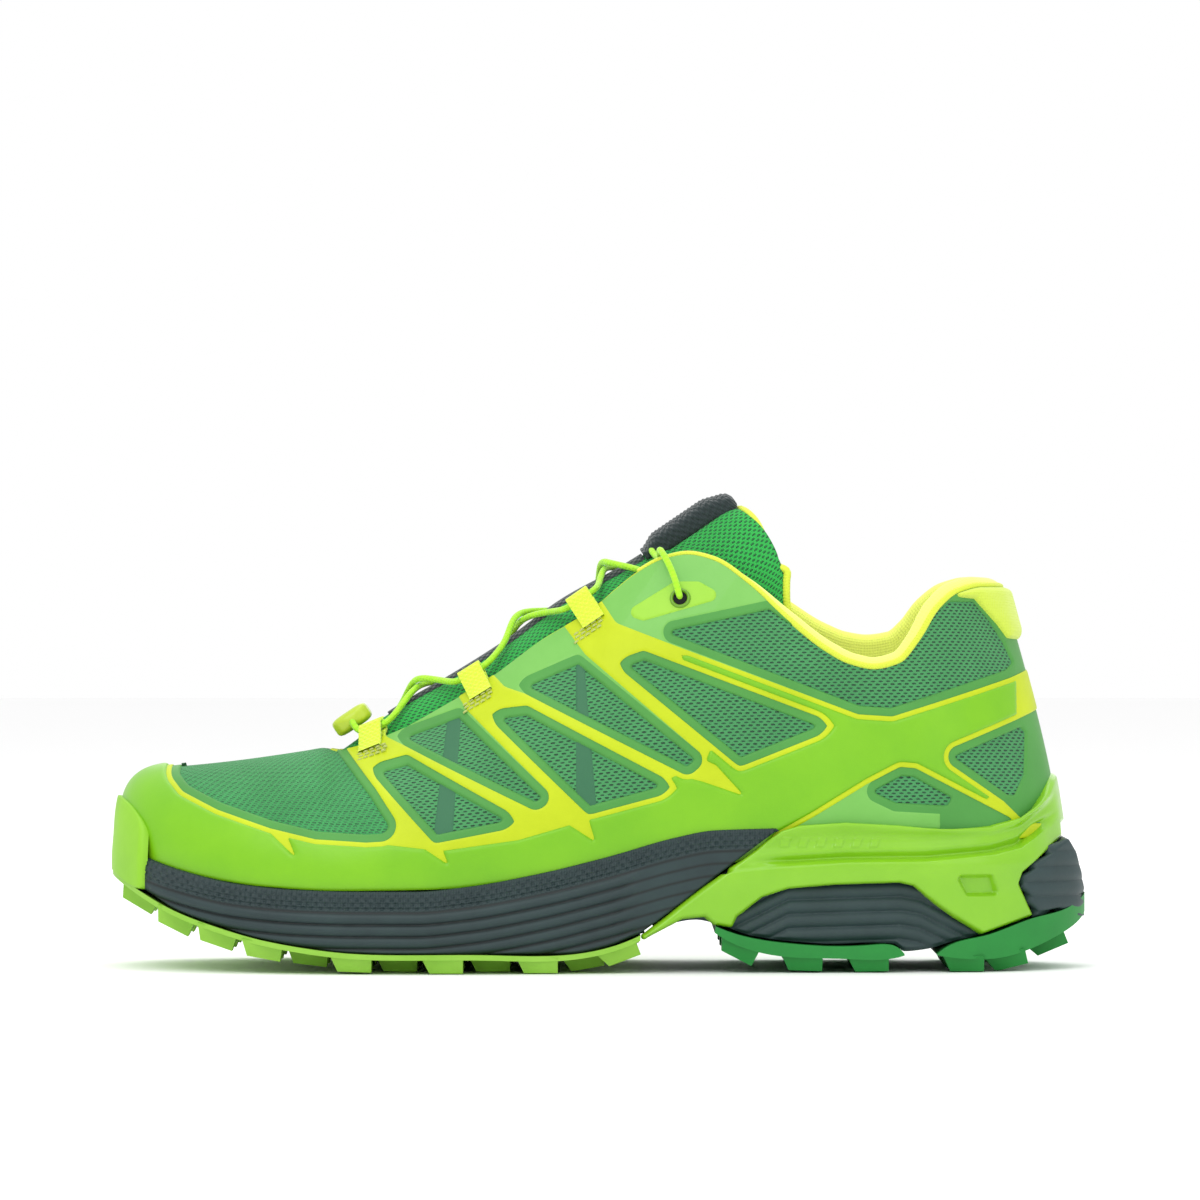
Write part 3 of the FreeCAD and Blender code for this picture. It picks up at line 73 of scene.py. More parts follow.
# Wall shape between the two: station, rise and lean at the foot, reach and slope at the top, aim in plan.
SHAPE = np.array([
    (-150, 19.0, 8, 15.0, 0, 90), (-140, 19.0, 8, 16.0, 0, 62), (-131, 18.5, 8, 18.0, 0, 44),
    (-118, 18.5, 8, 22.0, 0, 20), (-105, 19.0, 8, 25.0, 0, 5), (-84, 20.0, 8, 26.0, 0, 0),
    (-76, 20.0, 8, 20.0, 18, 0), (-62, 21.0, 8, 18.0, 30, 0), (-45, 23.0, 7, 19.0, 38, 0),
    (-17, 28.0, 6, 22.0, 47, 0), (5, 32.0, 5, 26.0, 54, 0), (28, 34.0, 4, 30.0, 64, 0),
    (58, 28.0, 4, 24.0, 78, 0), (84, 22.0, 4, 18.0, 88, 0), (100, 25.0, 2, 20.0, 88, -4),
    (114, 28.0, -1, 22.0, 86, -18), (128, 28.0, -3, 22.0, 82, -42), (140, 28.0, -4, 20.0, 78, -68),
    (150, 28.0, -4, 20.0, 76, -90),
])
# Stations run once round the loop: 0 and TURN at the toe, HEEL at the heel, the outer side first.
TURN, HEEL = 600.0, 300.0
RIDGE_END = 67.0
Y_AXIS = np.array([0.0, 1.0, 0.0])
UP = np.array([0.0, 0.0, 1.0])


def hermite(p, slope, i, span, s):
    """Cubic piece i of a curve with the given points and slopes, at the share s of its span."""
    return (
        p[i] * (1 + 2 * s) * (1 - s) ** 2 + slope[i] * span * s * (1 - s) ** 2
        + p[i + 1] * s * s * (3 - 2 * s) + slope[i + 1] * span * s * s * (s - 1)
    )


def steady(keys, values):
    """A smooth curve through points that never overshoots them, as a function of an array."""
    k = np.asarray(keys, float)
    p = np.asarray(values, float)
    step = np.diff(p) / np.diff(k)
    before, after = step[:-1], step[1:]
    total = np.where(before + after == 0, 1, before + after)
    inner = np.where(before * after <= 0, 0.0, 2 * before * after / total)
    slope = np.concatenate([step[:1], inner, step[-1:]])

    def at(x):
        x = np.asarray(x, float)
        i = np.clip(np.searchsorted(k, x, side="left") - 1, 0, len(k) - 2)
        span = k[i + 1] - k[i]
        return hermite(p, slope, i, span, np.clip((x - k[i]) / span, 0, 1))

    return at


def line_curve(points):
    return steady([q[0] for q in points], [q[1] for q in points])


def loop_curve(keys, outer, inner):
    """A closed smooth curve over the loop of stations: toe, outer side, heel, inner side."""
    around = list(zip(keys + 150.0, outer))
    back = list(zip(450.0 - keys[1:-1][::-1], inner[1:-1][::-1]))
    once = around + back
    points = [(a - TURN, b) for a, b in once[-3:]] + once + [(a + TURN, b) for a, b in once[:3]]
    curve = line_curve(points)
    return lambda t: curve(np.mod(t, TURN))


shift = 5.5 * np.clip((-84.0 - EDGE[:, 1]) / 44.0, 0, 1) ** 1.5
foot_x = loop_curve(FOOT[:, 0], FOOT[:, 1], FOOT[:, 1])
foot_y = loop_curve(FOOT[:, 0], FOOT[:, 2], FOOT[:, 3])
foot_z = loop_curve(FOOT[:, 0], FOOT[:, 4], FOOT[:, 4])
sole_margin = loop_curve(FOOT[:, 0], FOOT[:, 5], FOOT[:, 5])
edge_x = loop_curve(EDGE[:, 0], EDGE[:, 1], EDGE[:, 1])
edge_y = loop_curve(EDGE[:, 0], shift - EDGE[:, 2], shift + EDGE[:, 2])
edge_z = loop_curve(EDGE[:, 0], EDGE[:, 3], EDGE[:, 4])
rise, lean, reach, drop = [loop_curve(SHAPE[:, 0], SHAPE[:, i], SHAPE[:, i]) for i in (1, 2, 3, 4)]
aim_points = [(-300 - u, 180 - a) for u, a in SHAPE[1:3][::-1, [0, 5]]]
aim_points += [(u, a) for u, a in SHAPE[:, [0, 5]]]
aim_points += [(300 - u, -180 - a) for u, a in SHAPE[-3:-1][::-1, [0, 5]]]
aim_curve = line_curve(aim_points)


def aim(t):
    t = np.mod(t, TURN)
    return np.where(t <= HEEL, aim_curve(t - 150.0), 180.0 - aim_curve(450.0 - t))


def half_station(t):
    """Place along one side of the shoe, from -150 at the toe to 150 at the heel."""
    return np.where(t <= HEEL, t - 150.0, 450.0 - t)


def vec(*parts):
    return np.stack(np.broadcast_arrays(*parts), axis=-1)


def unit(a):
    return a / np.maximum(np.linalg.norm(a, axis=-1, keepdims=True), 1e-9)


def grid(first, second):
    return np.meshgrid(first, second, indexing="ij")


def grid_normals(points):
    return unit(np.cross(np.gradient(points, axis=0), np.gradient(points, axis=1)))


def run_along(line):
    """Length along a line of points, up to each of them."""
    return np.concatenate([[0], np.cumsum(np.linalg.norm(np.diff(line, axis=0), axis=1))])


def smooth(x, low, high):
    """0 up to low, 1 from high on, and an even step between; low may be the larger one."""
    s = np.clip((x - low) / (high - low), 0, 1)
    return s * s * (3 - 2 * s)


def bump(x, centre, width):
    return np.exp(-(((x - centre) / width) ** 2))


def wall(t, v):
    """The upper's outer face: station t round the loop, v from 0 at the sole to 1 at the top."""
    t, v = np.broadcast_arrays(np.asarray(t, float), np.asarray(v, float))
    a = np.radians(aim(t))
    out = vec(-np.sin(a), -np.cos(a), 0 * a)
    low = vec(foot_x(t), foot_y(t), foot_z(t))
    top = vec(edge_x(t), edge_y(t), edge_z(t))
    tilt, fall = np.radians(lean(t))[..., None], np.radians(drop(t))[..., None]
    p1 = low + (UP * np.cos(tilt) + out * np.sin(tilt)) * rise(t)[..., None]
    p2 = top + (out * np.cos(fall) - UP * np.sin(fall)) * reach(t)[..., None]
    w, v = (1 - v)[..., None], v[..., None]
    return low * w**3 + p1 * (3 * w * w * v) + p2 * (3 * w * v * v) + top * v**3


def wall_normal(t, v):
    t, v = np.broadcast_arrays(np.asarray(t, float), np.asarray(v, float))
    along = wall(t + 0.6, v) - wall(t - 0.6, v)
    across = wall(t, np.minimum(1, v + 0.01)) - wall(t, np.maximum(0, v - 0.01))
    n = unit(np.cross(along, across))
    m = np.mod(t, TURN)
    ridge = (v > 0.999) & ((m <= RIDGE_END) | (m >= TURN - RIDGE_END))
    along = wall(m + 1.5, v) - wall(m, v)
    flat = unit(vec(-np.abs(along[..., 2]), 0 * m, np.abs(along[..., 0])))
    return np.where(ridge[..., None], flat, n)


def inside(t, v, depth):
    """A point at a depth below the upper's outer face."""
    return wall(t, v) - wall_normal(t, v) * np.asarray(depth, float)[..., None]


def share_at(t, z):
    """The v at which the wall at station t reaches height z."""
    t, z = np.broadcast_arrays(np.asarray(t, float), np.asarray(z, float))
    low, high = np.zeros(t.shape), np.ones(t.shape)
    for _ in range(18):  # halvings, down to a few millionths
        mid = (low + high) / 2
        under = wall(t, mid)[..., 2] < z
        low, high = np.where(under, mid, low), np.where(under, high, mid)
    return low


def outline(t, margin):
    """The foot line in plan, moved outwards by margin."""
    d = unit(vec(foot_x(t + 1) - foot_x(t - 1), foot_y(t + 1) - foot_y(t - 1), 0 * t))
    return vec(foot_x(t) + d[..., 1] * margin, foot_y(t) - d[..., 0] * margin, 0 * t)


# ---------------------------------------------------------------- regions drawn on the side view, as (x, z)

def inset(poly, r):
    """A polygon with every edge moved inwards by r."""
    p = np.asarray(poly, float)
    if np.sum(p[:, 0] * np.roll(p[:, 1], -1) - np.roll(p[:, 0], -1) * p[:, 1]) < 0:
        p = p[::-1]
    d = unit(np.roll(p, -1, 0) - p)
    n = np.stack([-d[:, 1], d[:, 0]], 1)
    q, dq = p + n * r, d
    last_q, last_d = np.roll(q, 1, 0), np.roll(dq, 1, 0)
    cross = last_d[:, 0] * dq[:, 1] - last_d[:, 1] * dq[:, 0]
    gap = q - last_q
    s = (gap[:, 0] * dq[:, 1] - gap[:, 1] * dq[:, 0]) / np.where(abs(cross) < 1e-6, 1e-6, cross)
    return last_q + last_d * s[:, None]


def distance(x, z, poly, r=0.0):
    """Signed distance to a polygon with corners rounded by r: negative inside."""
    p = inset(poly, r) if r else np.asarray(poly, float)
    best = np.full(x.shape, 1e9)
    odd = np.zeros(x.shape, bool)
    for a, b in zip(p, np.roll(p, -1, 0)):
        e = b - a
        s = np.clip(((x - a[0]) * e[0] + (z - a[1]) * e[1]) / max(e @ e, 1e-9), 0, 1)
        best = np.minimum(best, np.hypot(x - a[0] - s * e[0], z - a[1] - s * e[1]))
        if a[1] != b[1]:
            odd ^= ((a[1] > z) != (b[1] > z)) & (x < e[0] * (z - a[1]) / e[1] + a[0])
    return np.where(odd, -best, best) - r


# ---------------------------------------------------------------- making meshes

def mesh_object(name, points, faces, uv=None, material=None):
    """A mesh object from points in millimetres; uv is one pair per point, in millimetres."""
    mesh = bpy.data.meshes.new(name)
    points = np.asarray(points, float).reshape(-1, 3) * 0.001
    mesh.from_pydata(points.tolist(), [], faces)
    if uv is not None:
        layer = mesh.uv_layers.new(name="mm")
        loops = np.zeros(len(mesh.loops), np.int32)
        mesh.loops.foreach_get("vertex_index", loops)
        flat = np.asarray(uv, float).reshape(-1, 2)[loops]
        layer.data.foreach_set("uv", flat.astype(np.float32).ravel())
    mesh.polygons.foreach_set("use_smooth", np.full(len(mesh.polygons), True))
    mesh.update()
    obj = bpy.data.objects.new(name, mesh)
    bpy.context.scene.collection.objects.link(obj)
    if material:
        mesh.materials.append(material)
    return obj


def ring_angles(count):
    return np.linspace(0, 2 * math.pi, count, endpoint=False)


def arc_lengths(points):
    """Running lengths over a grid of points, along its first and second directions."""
    first = np.linalg.norm(np.diff(points, axis=0), axis=-1)
    second = np.linalg.norm(np.diff(points, axis=1), axis=-1)
    u = np.concatenate([np.zeros((1, points.shape[1])), np.cumsum(first, 0)])
    v = np.concatenate([np.zeros((points.shape[0], 1)), np.cumsum(second, 1)], 1)
    return u, v


def cell_corners(rows, columns, wrap=False):
    """Point numbers at the four corners of each cell of a grid; wrap joins its last column to its first."""
    index = np.arange(rows * columns).reshape(rows, columns)
    if wrap:
        index = np.concatenate([index, index[:, :1]], 1)
    return index[:-1, :-1], index[1:, :-1], index[1:, 1:], index[:-1, 1:]


def grid_object(name, points, material, uv=None, wrap=False, flip=False):
    if uv is None:
        u, v = arc_lengths(points)
        uv = vec(u.mean(1, keepdims=True), v)
    a, b, c, d = cell_corners(*points.shape[:2], wrap)
    faces = np.stack([a, d, c, b] if flip else [a, b, c, d], -1).reshape(-1, 4)
    return mesh_object(name, points, faces.tolist(), uv, material)


def clipped(name, points, normals, field, height, uv, material):
    """The part of a grid where field is above 0, cut exactly along its edge and raised by height(field)."""
    total = field.size
    a, b, c, d = cell_corners(*field.shape)
    tri = np.concatenate([np.stack(corners, -1).reshape(-1, 3) for corners in ([a, b, c], [a, c, d])])
    f = field.ravel()
    inside_points = f[tri] > 0
    count = inside_points.sum(1)
    out = [tri[count == 3]]
    keys = []

    def edge(i, j):
        """Notes cut edges from points i to points j, as one number each, and says where the note is."""
        keys.append(np.minimum(i, j) * total + np.maximum(i, j))
        return len(keys) - 1

    pending = []
    for lone_inside, wanted in ((True, 1), (False, 2)):
        some = tri[count == wanted]
        flags = (f[some] > 0) == lone_inside
        k = flags.argmax(1)
        r = np.arange(len(some))
        p, q, s = some[r, k], some[r, (k + 1) % 3], some[r, (k + 2) % 3]
        pending.append((lone_inside, p, q, s, edge(p, q), edge(p, s)))
    lengths = [len(k) for k in keys]
    unique, place = np.unique(np.concatenate(keys), return_inverse=True)
    place = place + total
    starts = np.cumsum([0] + lengths)
    for lone_inside, p, q, s, e1, e2 in pending:
        i1 = place[starts[e1]:starts[e1 + 1]]
        i2 = place[starts[e2]:starts[e2 + 1]]
        kept = ([p, i1, i2],) if lone_inside else ([i1, q, s], [i1, s, i2])
        out += [np.stack(corners, -1) for corners in kept]
    i, j = unique // total, unique % total
    w = np.clip(f[i] / (f[i] - f[j]), 0.0, 1.0)[:, None]

    def spread(values):
        flat = values.reshape(total, -1)
        return np.concatenate([flat, flat[i] * (1 - w) + flat[j] * w])

    all_f = np.maximum(spread(field)[:, 0], 0)
    all_f[total:] = 0
    pos = spread(points) + unit(spread(normals)) * height(all_f)[:, None]
    used, faces = np.unique(np.concatenate(out), return_inverse=True)
    return mesh_object(name, pos[used], faces.reshape(-1, 3).tolist(), spread(uv)[used], material)


def layer_height(base, top, radius):
    """Height over an edge: from base at the very edge, rounding up to top within radius."""
    return lambda f: base + (top - base) * np.sqrt(np.clip(1 - (1 - np.clip(f / radius, 0, 1)) ** 2, 0, 1))


def smooth_line(points, spacing):
    """Evenly spaced points on a smooth curve through given points."""
    p = np.asarray(points, float)
    chord = np.concatenate([[0], np.cumsum(np.sqrt(np.linalg.norm(np.diff(p, axis=0), axis=1)))])
    m = np.gradient(p, chord, axis=0)
    close = np.linspace(0, chord[-1], 40 * len(p))
    i = np.clip(np.searchsorted(chord, close, side="right") - 1, 0, len(p) - 2)
    h = (chord[i + 1] - chord[i])[:, None]
    s = (close - chord[i])[:, None] / h
    q = hermite(p, m, i, h, s)
    run = run_along(q)
    at = np.linspace(0, run[-1], max(4, int(run[-1] / spacing)))
    return np.stack([np.interp(at, run, q[:, k]) for k in range(3)], 1)


def tube(name, points, radius, material, spacing, sides):
    """A round cord along a smooth line; its ends are closed."""
    line = smooth_line(points, spacing)
    along = unit(np.gradient(line, axis=0))
    across = np.cross(along[0], (0, 0, 1) if abs(along[0][2]) < 0.9 else (1, 0, 0))
    a = ring_angles(sides)
    rings = [np.repeat(line[:1], sides, 0)]
    for p, d in zip(line, along):
        across = unit(across - d * (across @ d))
        other = np.cross(d, across)
        rings.append(p + radius * (np.cos(a)[:, None] * across + np.sin(a)[:, None] * other))
    rings.append(np.repeat(line[-1:], sides, 0))
    run = run_along(line)
    u = np.concatenate([[0], run, [run[-1]]])
    uv = vec(u[:, None], np.linspace(0, 1, sides, endpoint=False))
    return grid_object(name, np.array(rings), material, uv, wrap=True)


# ---------------------------------------------------------------- tongue, loops and laces: where they run

# Spine line with the arch across it: x, z, half width, depth, wing angle in degrees.
TONGUE = np.array([
    (-86, 61.5, 7, 9, 66), (-80, 65.2, 8, 10.5, 68), (-74, 69.4, 9.5, 12, 70), (-66.8, 75.4, 13.5, 17, 74),
    (-56, 82.4, 16.5, 22, 76), (-47, 87.5, 19, 25, 76), (-28.6, 99, 22, 29, 76), (-10, 112.5, 23, 32, 78),
    (6.8, 121.7, 23, 35, 80), (20.5, 130.3, 22.4, 36, 82), (34.6, 139.9, 21.8, 35, 84),
    (41, 144.2, 21.6, 34, 84),
])
spine_z, arch_width, arch_depth, wing_angle = [line_curve(TONGUE[:, [0, i]]) for i in (1, 2, 3, 4)]
# Depth of the mesh's inner face below the upper's outer face.
MESH_IN = 2.07


def tongue_point(x, angle, raised=0.0):
    """A point over the tongue: x of the spine, angle round the arch in degrees, height over its face."""
    x, angle, raised = [np.asarray(a, float) for a in np.broadcast_arrays(x, angle, raised)]
    along = unit(vec(3.0 + 0 * x, 0 * x, spine_z(x + 1.5) - spine_z(x - 1.5)))
    over = vec(-along[..., 2], 0 * x, along[..., 0])
    s, c = np.sin(np.radians(angle))[..., None], np.cos(np.radians(angle))[..., None]
    wide, deep = arch_width(x)[..., None], arch_depth(x)[..., None]
    facing = unit(Y_AXIS * deep * s + over * wide * c)
    return vec(x, 0 * x, spine_z(x)) + Y_AXIS * wide * s - over * deep * (1 - c) + facing * raised[..., None]


FOLD_X, TOP_X = 19.0, 41.0
fold = np.array([FOLD_X, 0.0, float(spine_z(FOLD_X))])
top_along = unit(np.array([TOP_X - FOLD_X, 0.0, float(spine_z(TOP_X) - spine_z(FOLD_X))]))
top_over = np.array([-top_along[2], 0.0, top_along[0]])


def top_point(s, y, over):
    """A point in the frame of the tongue's top: along its spine from the fold, across, and over it."""
    return fold + top_along * s + top_over * over + Y_AXIS * y


def edge_directions(t):
    """At the top edge of the wall: off its outer face, along the edge and, square to both, past the edge."""
    facing = wall_normal(t, 1.0)
    along = wall(t + 1.5, 1.0) - wall(t - 1.5, 1.0)
    along = unit(along - facing * np.sum(along * facing, -1, keepdims=True))
    past = np.cross(facing, along)
    way = np.sum(past * (wall(t, 1.0) - wall(t, 0.98)), -1, keepdims=True)
    return facing, along, past * np.sign(way)


def edge_past(t, past, depth):
    """A point beyond the top edge of the wall by a distance, at a depth below its outer face."""
    return inside(t, 1.0, depth) + edge_directions(t)[2] * np.asarray(past, float)[..., None]


# Stations of the lace loops on the outer side, and half the width of their webbing.
LOOP_STATIONS = (83.0, 114.0, 147.0)
LOOP_HALF = 3.8


def loop_frame(t):
    """Centre of a lace loop's bore with its directions: past the edge, along the bore, off the wall."""
    facing, along, past = edge_directions(t)
    return wall(t, 1.0) + past * 5.1 + facing * 1.5, past, along * np.sign(along[0]), facing


def eyelet_place(side):
    """Station and height share of an eyelet, found from its place in the side view."""
    eyelet_x, eyelet_z = 25.4, 112.8
    low, high = 165.0, 195.0
    for _ in range(30):
        middle = (low + high) / 2
        if wall(middle, share_at(middle, eyelet_z))[0] < eyelet_x:
            low = middle
        else:
            high = middle
    return (low if side < 0 else TURN - low), float(share_at(low, eyelet_z))


anchor_slope = math.radians(34.0)
anchor_along = np.array([math.cos(anchor_slope), 0.0, math.sin(anchor_slope)])
anchor_over = np.array([-anchor_along[2], 0.0, anchor_along[0]])
anchor_base = np.array([-74.0, 0.0, 73.6])
lace_cross = anchor_base + anchor_over * 2.6


def crossing(x_from, x_to, at, height):
    """Points where a strand climbs over the tongue from one side to the other."""
    points = []
    for s in (0.3, 0.42, 0.5, 0.58, 0.7):
        raised = 1.7 + height * (1 - abs(2 * s - 1) * 1.9)
        points.append(tongue_point(x_from + (x_to - x_from) * s, at * 54.0 * (2 * s - 1), raised))
    return points


def strand(side, crossing_height):
    """Half the lace, from the anchor through three loops and out of the top eyelet to the pocket's mouth."""
    line = [lace_cross + Y_AXIS * side * y for y in (0.2, 3.0, 6.5)]
    at = side
    last_x = -74.0
    for index, station in enumerate(LOOP_STATIONS):
        centre, past, along, facing = loop_frame(station if at < 0 else TURN - station)
        if index:
            line += crossing(last_x, centre[0], at, crossing_height)
        line += [centre + along * (a * LOOP_HALF) for a in (-1.25, -0.6, 0.0, 0.6, 1.25)]
        last_x = centre[0]
        at = -at
    t, v = eyelet_place(at)
    line += crossing(last_x, 13.0, at, crossing_height)[:-1]
    facing = wall_normal(t, v)
    hole = inside(t, v, MESH_IN / 2)
    line += [tongue_point(13.0, at * 36.0, 1.6), tongue_point(16.5, at * 54.0, 2.0)]
    line += [hole - facing * 2.6, hole, hole + facing * 2.4]
    edge_t = 170.0 if at < 0 else TURN - 170.0
    line += [
        inside((t * 2 + edge_t) / 3, 0.5 + v / 2, -3.4),
        edge_past(edge_t, 2.4, -2.9),
        tongue_point(17.2, at * 34.0, 3.0),
        tongue_point(16.6, at * 20.0, 1.9),
        tongue_point(17.0, at * 9.5, 1.7),
        top_point(-0.6, at * 3.2, 1.2),
    ]
    return line


# ---------------------------------------------------------------- materials

def linear(code):
    """A colour code such as "#26393a" as the linear values that nodes take."""
    c = [int(code[i:i + 2], 16) / 255 for i in (1, 3, 5)]
    return [x / 12.92 if x <= 0.04045 else ((x + 0.055) / 1.055) ** 2.4 for x in c] + [1.0]


class Shader:
    """A small wrapper that builds one principled material with a node graph."""

    def __init__(self, name, colour, rough, **settings):
        self.mat = bpy.data.materials.new(name)
        self.mat.use_nodes = True
        self.tree = self.mat.node_tree
        self.bsdf = self.tree.nodes["Principled BSDF"]
        self.bsdf.inputs["Base Color"].default_value = linear(colour)
        self.bsdf.inputs["Roughness"].default_value = rough
        for key, value in settings.items():
            self.bsdf.inputs[key.replace("_", " ")].default_value = value
        self.height = None

    def node(self, kind, **inputs):
        n = self.tree.nodes.new(kind)
        for key, value in inputs.items():
            self.put(n.inputs[key.replace("_", " ")], value)
        return n

    def put(self, socket, value):
        if isinstance(value, bpy.types.NodeSocket):
            self.tree.links.new(value, socket)
        else:
            socket.default_value = value

    def math(self, op, a, b=0.0, c=0.0):
        n = self.tree.nodes.new("ShaderNodeMath")
        n.operation = op
        for socket, value in zip(n.inputs, (a, b, c)):
            self.put(socket, value)
        return n.outputs[0]

    def times(self, a, b):
        return self.math("MULTIPLY", a, b)

    def sine(self, a, k):
        return self.math("SINE", self.times(a, k))

    def coords(self, source):
        return self.tree.nodes.new("ShaderNodeTexCoord").outputs[source]

    def flat(self):
        """U and V of the piece, in millimetres."""
        n = self.tree.nodes.new("ShaderNodeSeparateXYZ")
        self.put(n.inputs[0], self.coords("UV"))
        return n.outputs[0], n.outputs[1]

    def noise(self, scale, detail=3.0):
        n = self.node(
            "ShaderNodeTexNoise", Scale=scale, Detail=detail, Roughness=0.6, Vector=self.coords("Object")
        )
        return n.outputs[0]

    def mix(self, factor, a, b):
        n = self.tree.nodes.new("ShaderNodeMix")
        n.data_type = "RGBA"
        self.put(n.inputs["Factor"], factor)
        for socket, colour in ((n.inputs[6], a), (n.inputs[7], b)):
            self.put(socket, linear(colour) if isinstance(colour, str) else colour)
        return n.outputs[2]

    def ramp(self, value, low, high):
        n = self.node("ShaderNodeMapRange", Value=value)
        n.inputs["From Min"].default_value = low
        n.inputs["From Max"].default_value = high
        return n.outputs[0]

    def cloudy(self, colour, dark, scale, detail=3.0, high=0.7):
        """The colour with soft darker clouds in it."""
        return self.mix(self.ramp(self.noise(scale, detail), 0.3, high), colour, dark)

    def colour(self, value):
        self.put(self.bsdf.inputs["Base Color"], value)

    def bump(self, height, distance):
        """Adds relief, its distance in metres, over what is there already."""
        n = self.node("ShaderNodeBump", Strength=1.0, Distance=distance, Height=height)
        if self.height is not None:
            self.put(n.inputs["Normal"], self.height)
        self.height = n.outputs[0]
        self.put(self.bsdf.inputs["Normal"], n.outputs[0])


def dashes(s, u, v, step_u, step_v, half_u, half_v, slant):
    """Staggered rows of short dashes: 1 inside a dash."""
    lean_u = s.math("MULTIPLY_ADD", v, slant, u)
    row = s.math("FLOOR", s.math("DIVIDE", v, step_v))
    stagger = s.times(s.math("MODULO", row, 2.0), step_u / 2)
    a = s.math("FRACT", s.math("DIVIDE", s.math("ADD", lean_u, stagger), step_u))
    b = s.math("FRACT", s.math("DIVIDE", v, step_v))
    a = s.times(s.math("SUBTRACT", a, 0.5), step_u / half_u)
    b = s.times(s.math("SUBTRACT", b, 0.5), step_v / half_v)
    return s.ramp(s.math("ADD", s.times(a, a), s.times(b, b)), 1.35, 0.6)


def weave(s, u, v, pitch, angle):
    """A woven height field with threads of a given pitch, in millimetres."""
    c, d = math.cos(math.radians(angle)), math.sin(math.radians(angle))
    a = s.math("MULTIPLY_ADD", v, d, s.times(u, c))
    b = s.math("MULTIPLY_ADD", v, c, s.times(u, -d))
    return s.times(s.sine(a, math.pi / pitch), s.sine(b, math.pi / pitch))


def cloth(name, colour, dark, pitch, angle=45.0, rough=0.85, depth=0.00012, valley_shade=0.5):
    """Woven cloth: its threads a pitch apart in millimetres, its relief a depth in metres, with painted shade in
    the hollows of its weave.
    """
    s = Shader(name, colour, rough, Sheen_Weight=0.25, Sheen_Roughness=0.5)
    w = weave(s, *s.flat(), pitch, angle)
    # Painted shade: the low points of the weave are mixed towards the dark colour; the noise adds a random tone.
    f = s.math("MULTIPLY_ADD", s.ramp(w, -1, 1), -valley_shade, valley_shade)
    f = s.math("ADD", f, s.times(s.math("SUBTRACT", s.noise(60.0), 0.5), 0.25))
    s.colour(s.mix(f, colour, dark))
    s.bump(w, depth)
    return s.mat


def film(name, colour, dark, rough, **settings):
    """Smooth bonded film or moulded plastic, with a fine grain."""
    s = Shader(name, colour, rough, Specular_IOR_Level=0.3, **settings)
    s.colour(s.cloudy(colour, dark, 35.0, 4.0, 0.75))
    s.bump(s.noise(1400.0, 2.0), 0.00004)
    return s.mat


def perforated(name, colour, dark, hole, step=(2.3, 0.95), half=(0.62, 0.24), slant=0.25):
    """Open mesh: a fine weave with rows of dash-shaped holes in it, the holes painted with the shade seen
    through them.
    """
    s = Shader(name, colour, 0.8, Sheen_Weight=0.06)
    u, v = s.flat()
    d = dashes(s, u, v, *step, *half, slant)
    # Painted shade: the dash holes are coloured with the darker hole colour.
    s.colour(s.mix(d, s.cloudy(colour, dark, 45.0), hole))
    s.bump(s.times(d, -1.0), 0.00035)
    s.bump(weave(s, u, v, 0.45, 45), 0.00006)
    return s.mat


# Depth below the forefoot foam's top edge where its ribs start, and the step from rib to rib.
RIB_START, RIB_STEP = 6.4, 3.6


def foam(name, colour, dark, ribbed=False):
    """Moulded foam. The ribbed one has v as the depth below its top edge, negative, in millimetres, and painted
    shade in the grooves between its ribs.
    """
    s = Shader(name, colour, 0.55, Specular_IOR_Level=0.4)
    base = s.cloudy(colour, dark, 70.0, 4.0)
    s.bump(s.noise(900.0), 0.00006)
    if ribbed:
        u, v = s.flat()
        depth = s.times(v, -1.0)
        band = s.ramp(depth, 6.0, 5.4)
        a = s.sine(s.math("ADD", u, v), math.pi / 1.5)
        b = s.sine(s.math("SUBTRACT", u, v), math.pi / 1.5)
        s.bump(s.times(band, s.times(a, b)), 0.0003)
        # Painted shade: the grooves between the ribs are darkened towards #101818 in the colour, except in the
        # patterned band.
        wave = s.sine(s.math("SUBTRACT", depth, RIB_START), math.pi / RIB_STEP)
        groove = s.ramp(s.math("ABSOLUTE", wave), 0.6, 0.0)
        base = s.mix(s.times(groove, s.math("SUBTRACT", 1.0, band)), base, "#101818")
    s.colour(base)
    return s.mat


def rubber(name, colour, dark):
    s = Shader(name, colour, 0.55, Specular_IOR_Level=0.4)
    s.colour(s.cloudy(colour, dark, 50.0))
    s.bump(s.noise(700.0), 0.00005)
    return s.mat


# The third colour of each perforated mesh is painted shade for its holes.
M_MESH = perforated("upper mesh", "#439156", "#3a854d", "#1e4931")
M_VAMP = perforated("vamp mesh", "#399752", "#2f8947", "#327446", (1.9, 0.85), (0.5, 0.24), 0.6)
M_FILM = film("bonded film", "#4f9643", "#458a3c", 0.5)
M_EYESTAY = film("eyestay film", "#77b856", "#69ad49", 0.45, Coat_Weight=0.15)
M_YELLOW = film("yellow film", "#bfd016", "#aec007", 0.5)
M_LIME = film("moulded lime", "#78b909", "#6bae07", 0.4, Coat_Weight=0.2, Coat_Roughness=0.35)
M_PATCH = film("eye patch", "#9bce40", "#8cc333", 0.45)
M_STRIP = film("backing strip", "#3a704d", "#33694a", 0.6)
M_FOAM = foam("midsole foam", "#26393a", "#1f3032", True)
M_POD = foam("heel foam", "#2b3f40", "#233637")
M_FRAME = film("heel frame", "#84c01c", "#78b514", 0.3, Coat_Weight=0.5, Coat_Roughness=0.22)
M_LUG_LIME = rubber("lime rubber", "#8ec242", "#82b836")
M_TOE = rubber("toe rubber", "#8cc62a", "#80bb20")
M_LUG_GREEN = rubber("green rubber", "#1c8633", "#177a2e")
